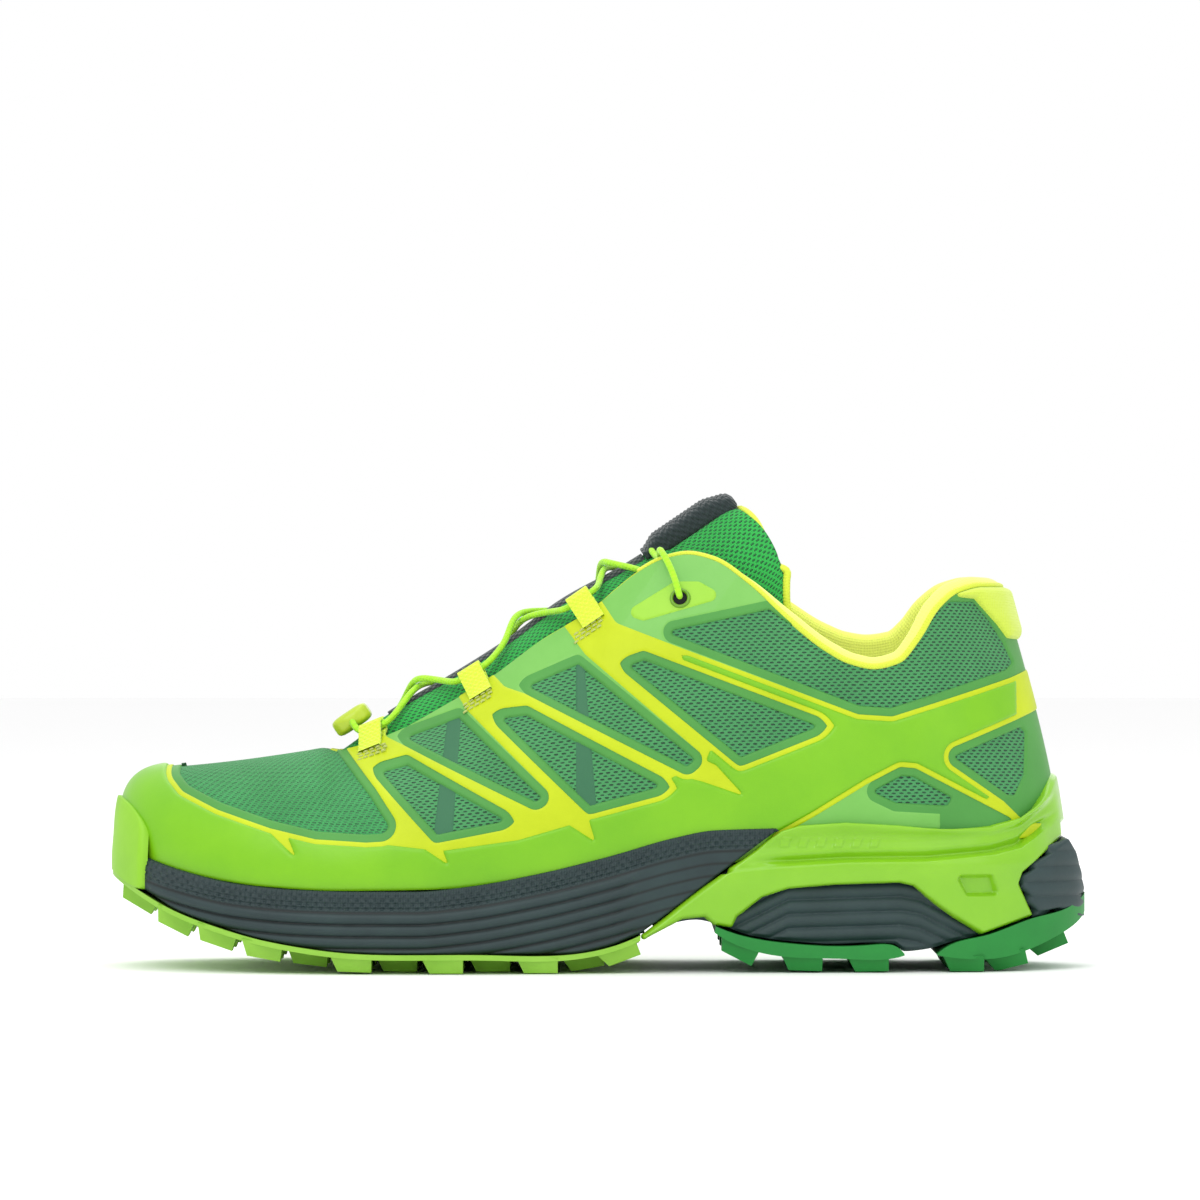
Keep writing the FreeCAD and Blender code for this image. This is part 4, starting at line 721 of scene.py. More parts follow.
M_TONGUE = perforated("tongue mesh", "#24aa45", "#1d9b3c", "#116031", (2.0, 1.1), (0.55, 0.3), 0.0)
M_GUSSET = cloth("gusset cloth", "#33a054", "#279147", 0.7)
M_LINING = cloth("collar lining", "#f6ff77", "#e6f35e", 0.6, 45.0, 0.9, 0.00005, 0.25)
M_TAB = cloth("heel tab", "#c6db46", "#b8d136", 0.6, 45.0, 0.85, 0.00005, 0.25)
M_BINDING = cloth("edge binding", "#d3e037", "#c2d329", 0.5, 0.0, 0.7, 0.00006, 0.25)
M_BAND = cloth("ribbed band", "#1e2e2f", "#121e20", 1.2, 0.0, 0.85, 0.0002, 0.6)
M_LACE = cloth("lace", "#a8ea09", "#8ecc07", 0.9, 30.0, 0.6, 0.0001, 0.5)
M_LOOP = cloth("webbing", "#d9f238", "#c2dd26", 0.9, 0.0, 0.7, 0.00015, 0.5)
M_STITCH = cloth("stitching", "#c3cf72", "#a9b75c", 0.5, 0.0, 0.8)
M_ANCHOR = film("anchor", "#b3c931", "#a5be26", 0.35, Coat_Weight=0.3)
M_EYELET = film("eyelet", "#6b9c23", "#5f8e1c", 0.35, Coat_Weight=0.3)
# Painted shade: a near-black film for the shade inside the eyelet holes.
M_HOLE_SHADE = film("hole", "#0c120d", "#080c09", 0.8)
M_DARK = film("dark plastic", "#242b2d", "#1d2325", 0.45)
M_INSOLE = cloth("insole cloth", "#3f5b4b", "#334d3f", 0.8)
M_GREY = cloth("grey board", "#a0a39f", "#8e928d", 0.9)


def give(node, material):
    """Gives a CAD node that stays on show its material."""
    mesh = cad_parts[node].data
    mesh.materials.clear()
    mesh.materials.append(material)


# ---------------------------------------------------------------- upper: mesh and the layers bonded on it

VAMP_WINDOW = [
    (-128, 59.6), (-124.7, 56.1), (-114, 51.1), (-98, 45.9), (-84.4, 42.8), (-69.6, 41.9),
    (-64.7, 42.2), (-62.4, 43.7), (-69.0, 53.3), (-80.8, 67.5), (-84, 95), (-128, 95),
]
# The windows of the film.
WINDOWS = [
    [(-65.3, 60.4), (-57.9, 62.5), (-27.4, 45.9), (-48, 41.9)],
    [(-58.2, 70.8), (-42.2, 76.7), (-16.6, 52.7), (-18.5, 51.7)],
    [(-29, 76.7), (-21.6, 77.6), (19.4, 56.1), (-1.8, 50.5)],
    [(-20.9, 86.5), (-5.9, 93), (29.6, 64.1), (27.4, 62.2)],
    [(9.9, 92.7), (14.2, 94.2), (67.1, 74.2), (43.7, 65)],
    [
        (20.9, 102.9), (52.4, 109.6), (57.6, 105.8), (76.7, 94.2), (84.1, 92.1), (94.6, 96.4), (101, 106.9),
        (107.5, 111.8), (114.9, 111.8), (120.1, 106), (124.4, 99.5), (127.5, 93.3), (125.4, 91.2), (89.3, 79.8),
        (79.8, 80.4),
    ],
    [(108.4, 65), (129.7, 73.6), (131.2, 72.1), (130.6, 59.1), (127.5, 53), (125.4, 53.3)],
    [(83.5, 54.5), (92.4, 59.1), (95.8, 58.8), (107.8, 52.4), (106.3, 50.2), (90.6, 51.1)],
]
# The windows as the yellow and lime layers go round them: an open side runs on past the layer's edge.
BAYS = [
    VAMP_WINDOW[:-3] + [(-82.2, 69), (-86, 95), (-128, 95)],
    WINDOWS[0],
    [
        (-58.2, 70.8), (-62.5, 72.7), (-69.9, 81.6), (-50, 99), (-46.5, 84.7), (-41.8, 77.3), (-16.6, 52.7),
        (-18.5, 51.7),
    ],
    WINDOWS[2],
    [
        (-20.9, 86.5), (-26.5, 88.3), (-35, 97), (-16, 117), (-12.4, 103.2), (-5.4, 93.9), (29.6, 64.1),
        (27.4, 62.2),
    ],
    WINDOWS[4],
    [
        (79.8, 80.4), (20.9, 102.5), (7.7, 107.6), (2.5, 115.5), (16.3, 140), (150, 140), (150, 101),
        (125.4, 91.2), (89.3, 79.8),
    ],
    [(108.4, 65), (129.7, 73.6), (150, 82), (150, 46), (131.8, 47.1), (125.4, 53.3)],
    [
        (67.1, 44.5), (83.5, 54.5), (92.4, 59.1), (95.8, 58.8), (124.1, 44), (124.1, 30), (56.4, 30),
        (56.4, 38.5),
    ],
]
LIME_ZONE = [
    (-160, 10), (-160, 90), (-128, 90), (-119, 54), (-91.5, 41.6), (-69.3, 39.1), (-46.8, 36.7), (-23.7, 40),
    (0.9, 47.1), (19.4, 57), (33, 64), (37, 73), (29, 88), (25.6, 95.5), (37.9, 95.5), (127.8, 91), (127.8, 60),
    (110, 45), (110, 10),
]
SPIKES = [
    [(-102, 45), (-90.5, 34.5), (-95, 44.5)],
    [(-56, 40), (-44.6, 32.6), (-48, 41)],
    [(-13, 47.5), (-0.5, 39.5), (-3, 48)],
    [(22, 60), (32, 57.5), (44.5, 53.2), (36, 62.5), (26, 67)],
]
EYE_PATCH = [(7.7, 108.1), (23.7, 118), (31.1, 118), (39.4, 113.3), (14.2, 106)]
STRIPS = [
    [(-45.6, 78.7), (-41.4, 78.7), (-43.4, 40.5), (-49.3, 40.5)],
    [(-6.5, 94.7), (-4, 94.7), (0.2, 48.5), (-6.2, 48.5)],
]

# The grid that every layer of the upper is cut from.
stations, levels = ((1000, 190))
TT, VV = grid(np.linspace(0, TURN, stations + 1), np.linspace(0, 1, levels))
P = wall(TT, VV)
N = wall_normal(TT, VV)
RUN_V = arc_lengths(P)[1]
UV = vec(TT, RUN_V)
X, Z = P[..., 0], P[..., 2]


def cornered(x, z, polygon, radius):
    """Distance outside a polygon, drawn out towards a point at its sharp corners where it is convex."""
    p = np.array(polygon, float)
    q = np.roll(p, -1, 0)
    away = np.stack([q[:, 1] - p[:, 1], p[:, 0] - q[:, 0]], 1)
    away = unit(away) * np.sign(np.sum(p[:, 0] * q[:, 1] - q[:, 0] * p[:, 1]))
    planes = [(x - a[0]) * n[0] + (z - a[1]) * n[1] for a, n in zip(p, away)]
    return np.maximum(distance(x, z, polygon, radius) * 0.55 + np.max(planes, 0) * 0.45, -9.0)


def from_holes(big, small, pointed):
    """Distance outside the vamp's big hole and the small ones; the pointed ones are convex."""
    holes = [(cornered if i in pointed else distance)(X, Z, hole, 0.8) for i, hole in enumerate(small)]
    return np.min([distance(X, Z, big, 2.0)] + holes, 0)


# How far the film shows round a window, and then the yellow line round a bay.
FILM_MARGIN, LINE = 2.7, 1.5
from_window = from_holes(VAMP_WINDOW, WINDOWS, (0, 1, 2, 3, 4, 6))
from_bay = from_holes(BAYS[0], BAYS[1:], (0, 2, 4))
above_foot = VV * RUN_V[:, -1:] + 0.3
to_heel = np.where(X > 128, -1.0, 1e3)
spikes = np.min([distance(X, Z, s, 0.3) for s in SPIKES], 0)
lime = np.minimum.reduce([from_bay - FILM_MARGIN - LINE, -distance(X, Z, LIME_ZONE), to_heel, spikes])
yellow = from_bay - FILM_MARGIN


def on_shoe(obj, slot, *nodes, body="shoe"):
    """Joins a modelled piece to a body, in place of the CAD nodes it stands for."""
    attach(obj, body)
    if nodes:
        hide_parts(*nodes)
    return obj


def layer(name, field, height, material, slot, *nodes):
    """A layer of the upper where field is above 0: height is a level, or base, top and radius of its edge."""
    lift = layer_height(*height) if isinstance(height, tuple) else lambda f: height + 0 * f
    return on_shoe(clipped(name, P, N, field, lift, UV, material), slot, *nodes)


# The mesh, in two cloths: a finer one over the toes.
skin = grid_object("upper_mesh", P - N * 0.6, M_MESH, UV)
solid = skin.modifiers.new("thickness", "SOLIDIFY")
solid.thickness = 0.0014
solid.offset = -1
on_shoe(skin, "mesh_green", "quarter_mesh_outer", "quarter_mesh_inner", "heel_mesh")
toe_side = -(X + 66.0) - 0.55 * (Z - 55.0)
layer("vamp_cloth", toe_side, -0.55, M_VAMP, "mesh_green", "vamp_mesh")
layer(
    "bonded_film", np.minimum(from_window, above_foot - 6.0), (-0.75, 0.0, 0.7), M_FILM,
    "film_light", "vamp_film", "cage_film_outer", "cage_film_inner", "heel_film",
)
eyestay_field = np.minimum.reduce([from_window - FILM_MARGIN, above_foot - 8.0, 104.0 - X])
layer("eyestay_film", eyestay_field, (0.0, 0.12, 0.3), M_EYESTAY, "film_light")
layer(
    "yellow_layer", np.minimum(yellow, above_foot - 5.0), (0.14, 0.42, 0.8), M_YELLOW,
    "film_yellow", "stripe_film_outer", "stripe_film_inner",
)
layer(
    "lime_layer", np.minimum(lime, above_foot), (0.44, 1.15, 1.5), M_LIME,
    "rand_lime", "toe_rand", "side_rand_outer", "side_rand_inner", "heel_wing_outer", "heel_wing_inner",
)
patch_field = -distance(X, Z, EYE_PATCH, 2.0)
layer("eye_patches", patch_field, (0.14, 0.42, 0.6), M_PATCH, "film_lime", "eye_patch_outer", "eye_patch_inner")
strip_field = -np.min([distance(X, Z, s, 0.4) for s in STRIPS], 0)
layer("backing_strips", strip_field, (-0.62, -0.45, 0.4), M_STRIP, "film_light")


# ---------------------------------------------------------------- sole

SOLE_TOP = line_curve([
    (-152, 38.0), (-128, 30.3), (-109, 26.5), (-90, 25.0), (-72, 24.6), (-55, 24.6),
    (-39, 26.0), (-18, 29.7), (3, 34.7), (24, 40.6), (36, 42.8), (55, 43.4),
])
SOLE_LOW = line_curve([
    (-152, 31.5), (-147, 28.5), (-140, 24.3), (-128, 18.2), (-115, 13.7), (-103, 10.4),
    (-90, 8.0), (-75, 6.2), (-60, 5.7), (-34, 5.7), (-8, 5.7), (3, 7.6), (13.2, 11.4), (55, 18.0),
])
CORE_LOW = line_curve([
    (16.2, 12.9), (30, 15.6), (36, 14.4), (47, 10.7), (58, 9.1), (72, 8.2), (83, 8.6), (90, 8.3), (93, 5.9),
    (100, 6.6), (108, 8.9), (117, 11.0), (133.7, 16.3), (146, 19.0),
])
FOOTBED = line_curve([
    (-152, 37.8), (-145, 36.1), (-132, 31.5), (-118, 28.0), (-100, 25.5), (-78, 24.4),
    (-50, 24.8), (-20, 27.5), (10, 30.5), (40, 32.5), (70, 33.5), (95, 34.0), (152, 34.6),
])
DIAGONAL = [(-170, -60), (13.2 - 36.5, 11.4 - 28.0), (13.2, 11.4), (55, 43.4), (55, 70), (-170, 70)]
FRAME_OUTLINE = [
    (13.6, 11.2), (55.4, 43.2), (61, 45), (75.2, 45.9), (91.5, 45), (108.1, 43.4), (120.4, 43.4), (126.3, 45),
    (131.8, 48.7), (137.1, 53.6), (141.5, 60), (160, 62), (160, 44), (143.5, 43.8), (143.5, 40.4), (129.9, 29.3),
    (129, 26.4), (133.7, 16.3), (117.1, 11), (108, 16.5), (99.8, 22.3), (95.7, 25.6), (91.5, 26.6), (71.8, 26),
    (57.8, 24.8), (50.2, 22.3), (42.6, 16.6), (41, 13.4), (35.6, 14.2), (32.6, 16.6), (26.2, 16), (13.9, 9.6),
]
CREASE = [
    (40, 31.2), (55.1, 32.6), (75.2, 33.9), (99.8, 34.2), (120.4, 36), (128.7, 37.9), (140.1, 45.3), (147, 50),
]
DENT = [(108.7, 29), (119.5, 29), (122, 23.1), (112.1, 23.1)]
BUMPER = [(134.0, 16.6), (129.3, 26.4), (130.2, 29.1), (143.9, 40.3), (160, 41.5), (160, 10), (141, 17.8)]


def cut(name, points, field, height, uv, material, slot, *nodes):
    """A piece of the sole, cut from a grid of points where field is above 0."""
    on_shoe(clipped(name, points, grid_normals(points), field, height, uv, material), slot, *nodes)


def across(xs, height, margin, shares, lift=lambda x, s: 0.0):
    """A sheet across the foot line: rows at each x, columns at shares of the half width from -1 to 1."""
    t = np.linspace(0, TURN, 1201)
    line = outline(t, margin)
    outer, inner = line[:601], line[600:][::-1]
    y_outer = np.interp(xs, outer[:, 0], outer[:, 1])
    y_inner = np.interp(xs, inner[:, 0], inner[:, 1])
    middle, half = (y_outer + y_inner) / 2, (y_inner - y_outer) / 2
    x, s = grid(xs, shares)
    return vec(x, middle[:, None] + half[:, None] * s, height(x) + lift(x, s))


def rib_wave(depth, step):
    """Rounded ribs with sharp grooves between them, from 0 to 1."""
    return np.abs(np.sin(math.pi * depth / step)) ** 0.7


# Forefoot foam: a wall all round with ribs below and a patterned band above, its shelf and its underside.
TS, K = grid(np.linspace(0, TURN, 900), np.linspace(0, 1, 120))
side_x = outline(TS, sole_margin(TS))[..., 0]
top_z, low_z = SOLE_TOP(side_x), SOLE_LOW(side_x)
share = np.clip((K - 0.16) / 0.66, 0, 1)
edge_round = 1.3 * (1 - np.sqrt(np.clip(1 - (2 * share - 1) ** 8, 0, 1)))
side_z = low_z + (top_z - low_z) * share
from_top = top_z - side_z
fade = smooth(side_x, -142, -126) * (1 - smooth(side_x, 6, 17))
ribs = 1.15 * rib_wave(from_top - RIB_START, RIB_STEP) * smooth(from_top, 6.2, 7.2)
ribs = ribs * (1 - smooth(share, 0.02, 0.0)) * fade
waist = 0.54 * np.sin(math.pi * share)
shelf = np.clip((K - 0.82) / 0.18, 0, 1) * 8.0
under = np.clip((0.16 - K) / 0.16, 0, 1) * 12.0
margin = sole_margin(TS) - 1.65 + waist + ribs - edge_round - shelf - under
foam_points = outline(TS, margin)
foam_points[..., 2] = side_z
to_cut = -distance(foam_points[..., 0], foam_points[..., 2], DIAGONAL)
foam_normals = grid_normals(foam_points)
band_mask = smooth(from_top, 0.5, 1.0) * (1 - smooth(from_top, 5.4, 5.9))
hatch = np.abs(np.mod((TS + from_top) / 2.6, 1) - 0.5) + np.abs(np.mod((TS - from_top) / 2.6, 1) - 0.5)
foam_points = foam_points - foam_normals * (0.35 * band_mask * smooth(hatch, 0.62, 0.78))[..., None]
foam_obj = clipped(
    "forefoot_foam", foam_points, foam_normals, to_cut, layer_height(-0.8, 0.0, 0.8), vec(TS, -from_top), M_FOAM
)
on_shoe(foam_obj, "foam_slate", "midsole_forefoot")
shares = np.linspace(-1, 1, 25)
floor = across(np.linspace(-141, 14.5, 60), SOLE_LOW, -5.0, shares)
on_shoe(grid_object("forefoot_foam_floor", floor, M_FOAM, flip=True), "foam_slate")

# Toe strip: lime rubber carried up over the toe tip.
TOE_REACH = 17
t_toe, k_toe = grid(np.linspace(-TOE_REACH, TOE_REACH, 90), np.linspace(0, 1, 70))
toe_foot = SOLE_LOW(outline(t_toe, 5.0)[..., 0]) - 1.2
toe_z = toe_foot + (52.5 - 7.0 * (t_toe / TOE_REACH) ** 2 - toe_foot) * k_toe
toe_wall = wall(t_toe, share_at(t_toe, np.maximum(toe_z, 38.0))) - np.array([2.6, 0, 0])
toe_mix = smooth(toe_z, 33.0, 50.0)[..., None]
toe_points = outline(t_toe, sole_margin(t_toe) + 0.4) * (1 - toe_mix) + toe_wall * toe_mix
toe_points[..., 2] = toe_z
toe_field = 1.0 - ((np.abs(t_toe) / 16.5) ** 4 + np.abs(2 * k_toe - 1) ** 12)
toe_height = layer_height(-2.4, 0.0, 0.35)
cut("toe_strip", toe_points, toe_field, toe_height, vec(t_toe, toe_z), M_TOE, "outsole_lime")

# Heel frame: from the sole line at its foot to the upper's wall at its top.
z_frame = np.linspace(9.0, 63.0, 220)
TF, ZF = grid(np.linspace(150, 450, 760), z_frame)
v_at = share_at(TF, np.maximum(ZF, 36.0))
up = smooth(ZF, 32.0, 44.0)[..., None]
frame_points = outline(TF, 5.0) * (1 - up) + (wall(TF, v_at) + wall_normal(TF, v_at) * 1.7) * up
frame_points[..., 2] = ZF
fx, fz = frame_points[..., 0], frame_points[..., 2]
above = fz - np.interp(fx, [q[0] for q in CREASE], [q[1] for q in CREASE])
near_top = -distance(fx, fz, FRAME_OUTLINE)
dent = smooth(-distance(fx, fz, DENT, 1.0), -0.6, 0.8)
before_end = 1 - smooth(fx, 133, 142)
in_frame = smooth(fx, 44, 60) * before_end
# Relief: a roll along the top, a groove at the crease, a hollow above it, a belly below it, and the dent.
relief = 1.6 * smooth(above, 4.5, 8.5) * bump(near_top, 1.2, 2.4) * in_frame
relief = relief - 1.9 * bump(above, 1.3, 1.3) * in_frame
relief = relief - 0.9 * smooth(above, 0.0, 1.6) * smooth(-above, -9, -5) * in_frame
relief = relief + 0.9 * smooth(-above, 0.0, 1.4) * smooth(above, -14, -3) * before_end
relief = relief - 2.2 * dent
for i in range(6):
    bar_x = 57.0 + 5.4 * i
    from_bar = np.abs(fx - bar_x - 0.35 * (fz - 39))
    relief = relief + 0.45 * smooth(from_bar, 1.5, 1.1) * smooth(np.abs(fz - 39.2), 1.5, 1.1)
frame_field = -distance(fx, fz, FRAME_OUTLINE, 0.9)
frame_points = frame_points + grid_normals(frame_points) * relief[..., None]
cut(
    "heel_frame_shell", frame_points, frame_field, layer_height(-3.0, 0.0, 1.5), vec(TF, ZF), M_FRAME,
    "frame_lime", "heel_frame",
)

# Heel foam behind the frame's window, with ribs that follow the window's upper edge.
TC, KC = grid(np.linspace(150, 450, 420), np.linspace(0, 1, 90))
core_x = outline(TC, 1.2)[..., 0]
core_low = CORE_LOW(core_x) + 0.2
core_z = core_low + (33.5 - core_low) * KC
roof = np.interp(core_x, [20, 42, 58, 92, 98, 125], [10, 18, 26, 27, 26, 12])
core_points = outline(TC, 0.9 + 1.2 * rib_wave(roof - core_z, 4.3) * smooth(KC, 0.0, 0.05))
core_points[..., 2] = core_z
core_field = np.minimum(core_points[..., 0] - 17.0 - (core_z - 13.5) * 1.31, 5.0)
core_uv = vec(TC, core_z)
cut("heel_foam", core_points, core_field, lambda f: 0 * f, core_uv, M_POD, "foam_slate", "midsole_heel")
core_floor = across(np.linspace(17, 143, 60), lambda x: CORE_LOW(x) + 0.25, 1.0, shares)
on_shoe(grid_object("heel_foam_floor", core_floor, M_POD, flip=True), "foam_slate")

# Heel bumper: ribbed foam behind the frame.
TB, ZB = grid(np.linspace(225, 375, 300), np.linspace(15.5, 41.5, 110))
profile = np.interp(ZB, [15, 23.8, 29, 35.5, 40.3, 42], [150.2, 150.2, 149.0, 147.0, 143.9, 142.5]) - 0.3
bumper_points = outline(TB, sole_margin(TB) - 0.8 + 0.8 * rib_wave(ZB - 17.5, 4.6))
bumper_points[..., 0] -= np.maximum(bumper_points[..., 0] - profile, 0)
bumper_points[..., 2] = ZB
bumper_field = -distance(bumper_points[..., 0], ZB, BUMPER, 0.8)
bumper_height = layer_height(-2.5, 0.0, 1.2)
cut("heel_bumper", bumper_points, bumper_field, bumper_height, vec(TB, ZB), M_POD, "foam_slate")

# These stay on show as CAD nodes, with their edges softened.
for node, material in (
    ("outsole_forefoot", M_LUG_LIME), ("outsole_heel_front", M_LUG_GREEN), ("outsole_heel_rear", M_LUG_GREEN),
    ("arch_shank", M_DARK),
):
    give(node, material)
    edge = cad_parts[node].modifiers.new("edge", "BEVEL")
    edge.width = 0.0004
    edge.segments = 2
    edge.limit_method = "ANGLE"


# ---------------------------------------------------------------- collar, binding and heel tab

WIDER = 1.0


def edge_line(start, end, past, depth):
    t = np.linspace(start, end, int((end - start) / 1.5))
    return edge_past(t, past, depth + 0 * t)


binding = tube("collar_piping", edge_line(163, 437, 0.7, 0.75), 0.95, M_BINDING, 0.9 * WIDER, 12)
on_shoe(binding, "binding_yellow", "edge_binding")
for side, (start, end) in (("outer", (70, 164)), ("inner", (436, 530))):
    throat = tube(f"throat_binding_{side}", edge_line(start, end, 0.25, 1.0), 0.75, M_YELLOW, 0.9 * WIDER, 12)
    on_shoe(throat, "binding_yellow")

# The padded lining: it rolls over the collar's edge and runs down inside the heel.
t_pad, s_pad = grid(np.linspace(186, 414, 300), np.linspace(0, 1, 70))
roll = np.clip(s_pad / 0.26, 0, 1) * math.pi
down = np.clip((s_pad - 0.26) / 0.74, 0, 1)
end_fade = smooth(t_pad, 186, 212) * (1 - smooth(t_pad, 388, 414))
lining_low = line_curve([(36, 92.0), (60, 80.0), (80, 70.0), (110, 62.0), (150, 60.0)])
v_end = share_at(t_pad, lining_low(half_station(t_pad)))
v_pad = 1 - down * (1 - v_end)
thick = 0.9 + 2.2 * end_fade
pad_depth = 3.1 + (thick - 0.4) - thick * np.cos(roll) - 2.0 + 0.9 * end_fade * np.sin(math.pi * down)
past_pad = 3.6 * np.sin(roll) * (0.45 + 0.55 * end_fade)
directions = edge_directions(t_pad)[2]
pad_points = inside(t_pad, v_pad, pad_depth) + directions * past_pad[..., None]
collar_pad = grid_object("collar_lining_pad", pad_points, M_LINING, flip=True)
on_shoe(collar_pad, "lining_yellow", "collar_lining_outer", "collar_lining_inner", "collar_lining_heel")
# The liner below it, down to the insole.
t_low, k_low = grid(np.linspace(168, 432, 260), np.linspace(0, 1, 70))
v_low = share_at(t_low, 38.0)
v_top = share_at(t_low, lining_low(half_station(t_low)) + 3.0)
v_mid = v_low + (v_top - v_low) * k_low
liner = grid_object("heel_liner", inside(t_low, v_mid, 4.1 + 0 * v_mid), M_LINING, flip=True)
on_shoe(liner, "lining_yellow")

TAB = [
    (109.6, 113.3), (114.9, 112.7), (122.3, 104.7), (125.4, 100.7), (130.6, 100.1), (160, 100.1), (160, 130),
    (109.6, 130),
]
tab_field = np.minimum(-distance(X, Z, TAB, 1.0), (1 - VV) * RUN_V[:, -1:])
tab_obj = layer("heel_tab_pad", tab_field, (-0.2, 2.3, 3.4), M_TAB, "tab_yellow", "heel_tab")


# ---------------------------------------------------------------- inside: board, insole, stiffeners

insole_xs = np.linspace(-139, 137, 120)
insole_top = across(
    insole_xs, lambda x: FOOTBED(x) + 6.6, -4.6, np.linspace(-1, 1, 41), lambda x, s: 1.6 * np.abs(s) ** 5
)
on_shoe(grid_object("insole_top_cloth", insole_top, M_INSOLE), "insole_cloth", "insole_cover")
upper_side = across(insole_xs, lambda x: FOOTBED(x) + 6.2, -4.7, np.linspace(-1, 1, 31))
lower_side = across(insole_xs, lambda x: FOOTBED(x) + 2.0, -5.2, np.linspace(1, -1, 31))
insole = grid_object("insole_pad", np.concatenate([upper_side, lower_side], 1), M_POD, wrap=True)
on_shoe(insole, "insole_grey", "insole_foam")
for node in ("lasting_board", "toe_puff", "heel_counter"):
    give(node, M_GREY)


# ---------------------------------------------------------------- tongue

def pad_of(x, angle):
    """Thickness of the tongue's padding: most along the middle, towards the top."""
    centre = np.exp(-((arch_width(x) * np.sin(np.radians(angle)) / 11.0) ** 2))
    return 4.0 + 6.0 * centre * np.clip((x + 40) / 50, 0, 1)


def sunk(x, a):
    """The tongue's face: soft, with a recess for the lock beside the fold and upwards."""
    y = arch_width(x) * np.sin(np.radians(a))
    fall = arch_depth(x) * (1 - np.cos(np.radians(a)))
    room = smooth(x, 19.0, 20.5) * smooth(-np.abs(y), -10.4, -8.6)
    return -np.maximum(3.3 - fall, 0) * room


# Arch angle where the tongue's wings end at its top.
WING = 104.0


def top_edge_x(angle):
    return TOP_X - 6.5 * smooth(np.abs(angle), 68, WING)


def top_bulge(angle, share):
    """How far the top edge rounds out on each side of the pocket."""
    return 4.6 * np.exp(-(((np.abs(angle) - 56) / 30) ** 2)) * smooth(share, 0.72, 1.0)


def tongue_sheet(shares, under):
    """The tongue's face or back: rows up the spine, columns round the arch; its top edge is rounded."""
    k = np.concatenate([np.linspace(0, 0.95, 150), 0.95 + 0.05 * np.sin(np.linspace(0, math.pi / 2, 14))[1:]])
    k, s = grid(k, shares)
    x = -84 + (top_edge_x(s * WING) + 84) * k
    a = s * (wing_angle(x) + (WING - wing_angle(x)) * smooth(x, 0, 20))
    round_off = np.sqrt(np.clip(1 - (np.clip(k - 0.95, 0, 1) / 0.05) ** 2, 0.02, 1))
    pad = pad_of(x, a)
    raised = -pad * (0.5 + 0.5 * round_off) if under else sunk(x, a) - pad / 2 * (1 - round_off)
    return tongue_point(x, a, raised) + top_along * top_bulge(a, k)[..., None]


face = tongue_sheet(np.linspace(-1, 1, 71), False)
back = tongue_sheet(np.linspace(1, -1, 71), True)
tongue = grid_object("tongue_cloth", np.concatenate([face, back], 1), M_TONGUE, wrap=True, flip=True)
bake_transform(tongue)
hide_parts("tongue_lower", "tongue_upper")

x_band, s_band = grid(np.linspace(-64, 14, 120), np.linspace(-0.2, 0.2, 17))
a_band = s_band * wing_angle(x_band)
band_points = tongue_point(x_band, a_band, 0.75 - 0.65 * np.abs(a_band / (0.2 * wing_angle(x_band))) ** 4)
on_shoe(grid_object("tongue_band_cloth", band_points, M_BAND, flip=True), "band_slate", "tongue_band")

# The lace pocket: a stretch cover over the lock, open at its lower end.
s_pocket, a_pocket = grid(np.linspace(-5.5, 27.0, 90), ring_angles(72))
round_end = np.sqrt(np.clip(1 - (np.clip(s_pocket - 24.0, 0, 3) / 3.2) ** 2, 0.03, 1))
low_end = smooth(s_pocket, -5.5, 1.0)


def boxy(w):
    """A sine or cosine made fuller, so that a ring of them comes out as a rounded box."""
    return np.sign(w) * np.abs(w) ** 0.45


pocket_rib = 0.16 * np.sin(2 * math.pi * s_pocket / 1.35)
y_pocket = 8.3 * boxy(np.cos(a_pocket)) * (0.8 + 0.2 * round_end)
pocket_half = (1.5 + 2.0 * low_end) * round_end
sink = 0.3 + 2.0 * smooth(s_pocket, 17.5, 26.0)
over_pocket = 0.9 + 0.2 * low_end - sink + pocket_half * boxy(np.sin(a_pocket)) - 0.02 * y_pocket**2
over_pocket = over_pocket + pocket_rib * (np.sin(a_pocket) > 0)
pocket_points = top_point(s_pocket[..., None], y_pocket[..., None], over_pocket[..., None])
pocket = grid_object("lace_pocket_cloth", pocket_points, M_BAND, wrap=True, flip=True)
on_shoe(pocket, "band_slate", "lace_pocket", body="tongue_top")

angles = np.linspace(-WING, WING, 53)
piping_x = top_edge_x(angles)
piping_points = tongue_point(piping_x, angles, -pad_of(piping_x, angles) / 2)
piping_points = piping_points + top_along * (0.9 + top_bulge(angles, 1.0))[:, None]
tongue_edge = tube("tongue_edge_piping", piping_points, 1.25, M_BINDING, 0.8 * WIDER, 12)
on_shoe(tongue_edge, "binding_yellow", "tongue_piping", body="tongue_top")

# Gussets: loose cloth from inside each quarter to the tongue's wings.
for side in (-1, 1):
    tg = np.linspace(76, 166, 110)
    t_side = tg if side < 0 else TURN - tg
    R = np.linspace(0, 1, 30)[None, :, None]
    start_points = inside(t_side, 0.86 + 0 * tg, 2.6 + 0 * tg)
    edge_points = wall(t_side, 1.0 + 0 * tg)
    tongue_x = np.clip(edge_points[:, 0] - 3.0, -72, 17)
    end_points = tongue_point(tongue_x, side * 58.0, 0.15)
    wrinkle = (0.35 * np.sin(tg / 3.1) + 0.25 * np.sin(tg / 1.7 + 1))[:, None, None]
    sag = UP * (wrinkle - 1.6) * np.sin(math.pi * R)
    gusset_points = start_points[:, None] * (1 - R) + end_points[:, None] * R + sag
    label = "outer" if side < 0 else "inner"
    gusset = grid_object(f"gusset_{label}", gusset_points, M_GUSSET, flip=side < 0)
    on_shoe(gusset, "gusset_green", f"tongue_gusset_{label}")


# ---------------------------------------------------------------- lace loops, eyelets, anchor and laces

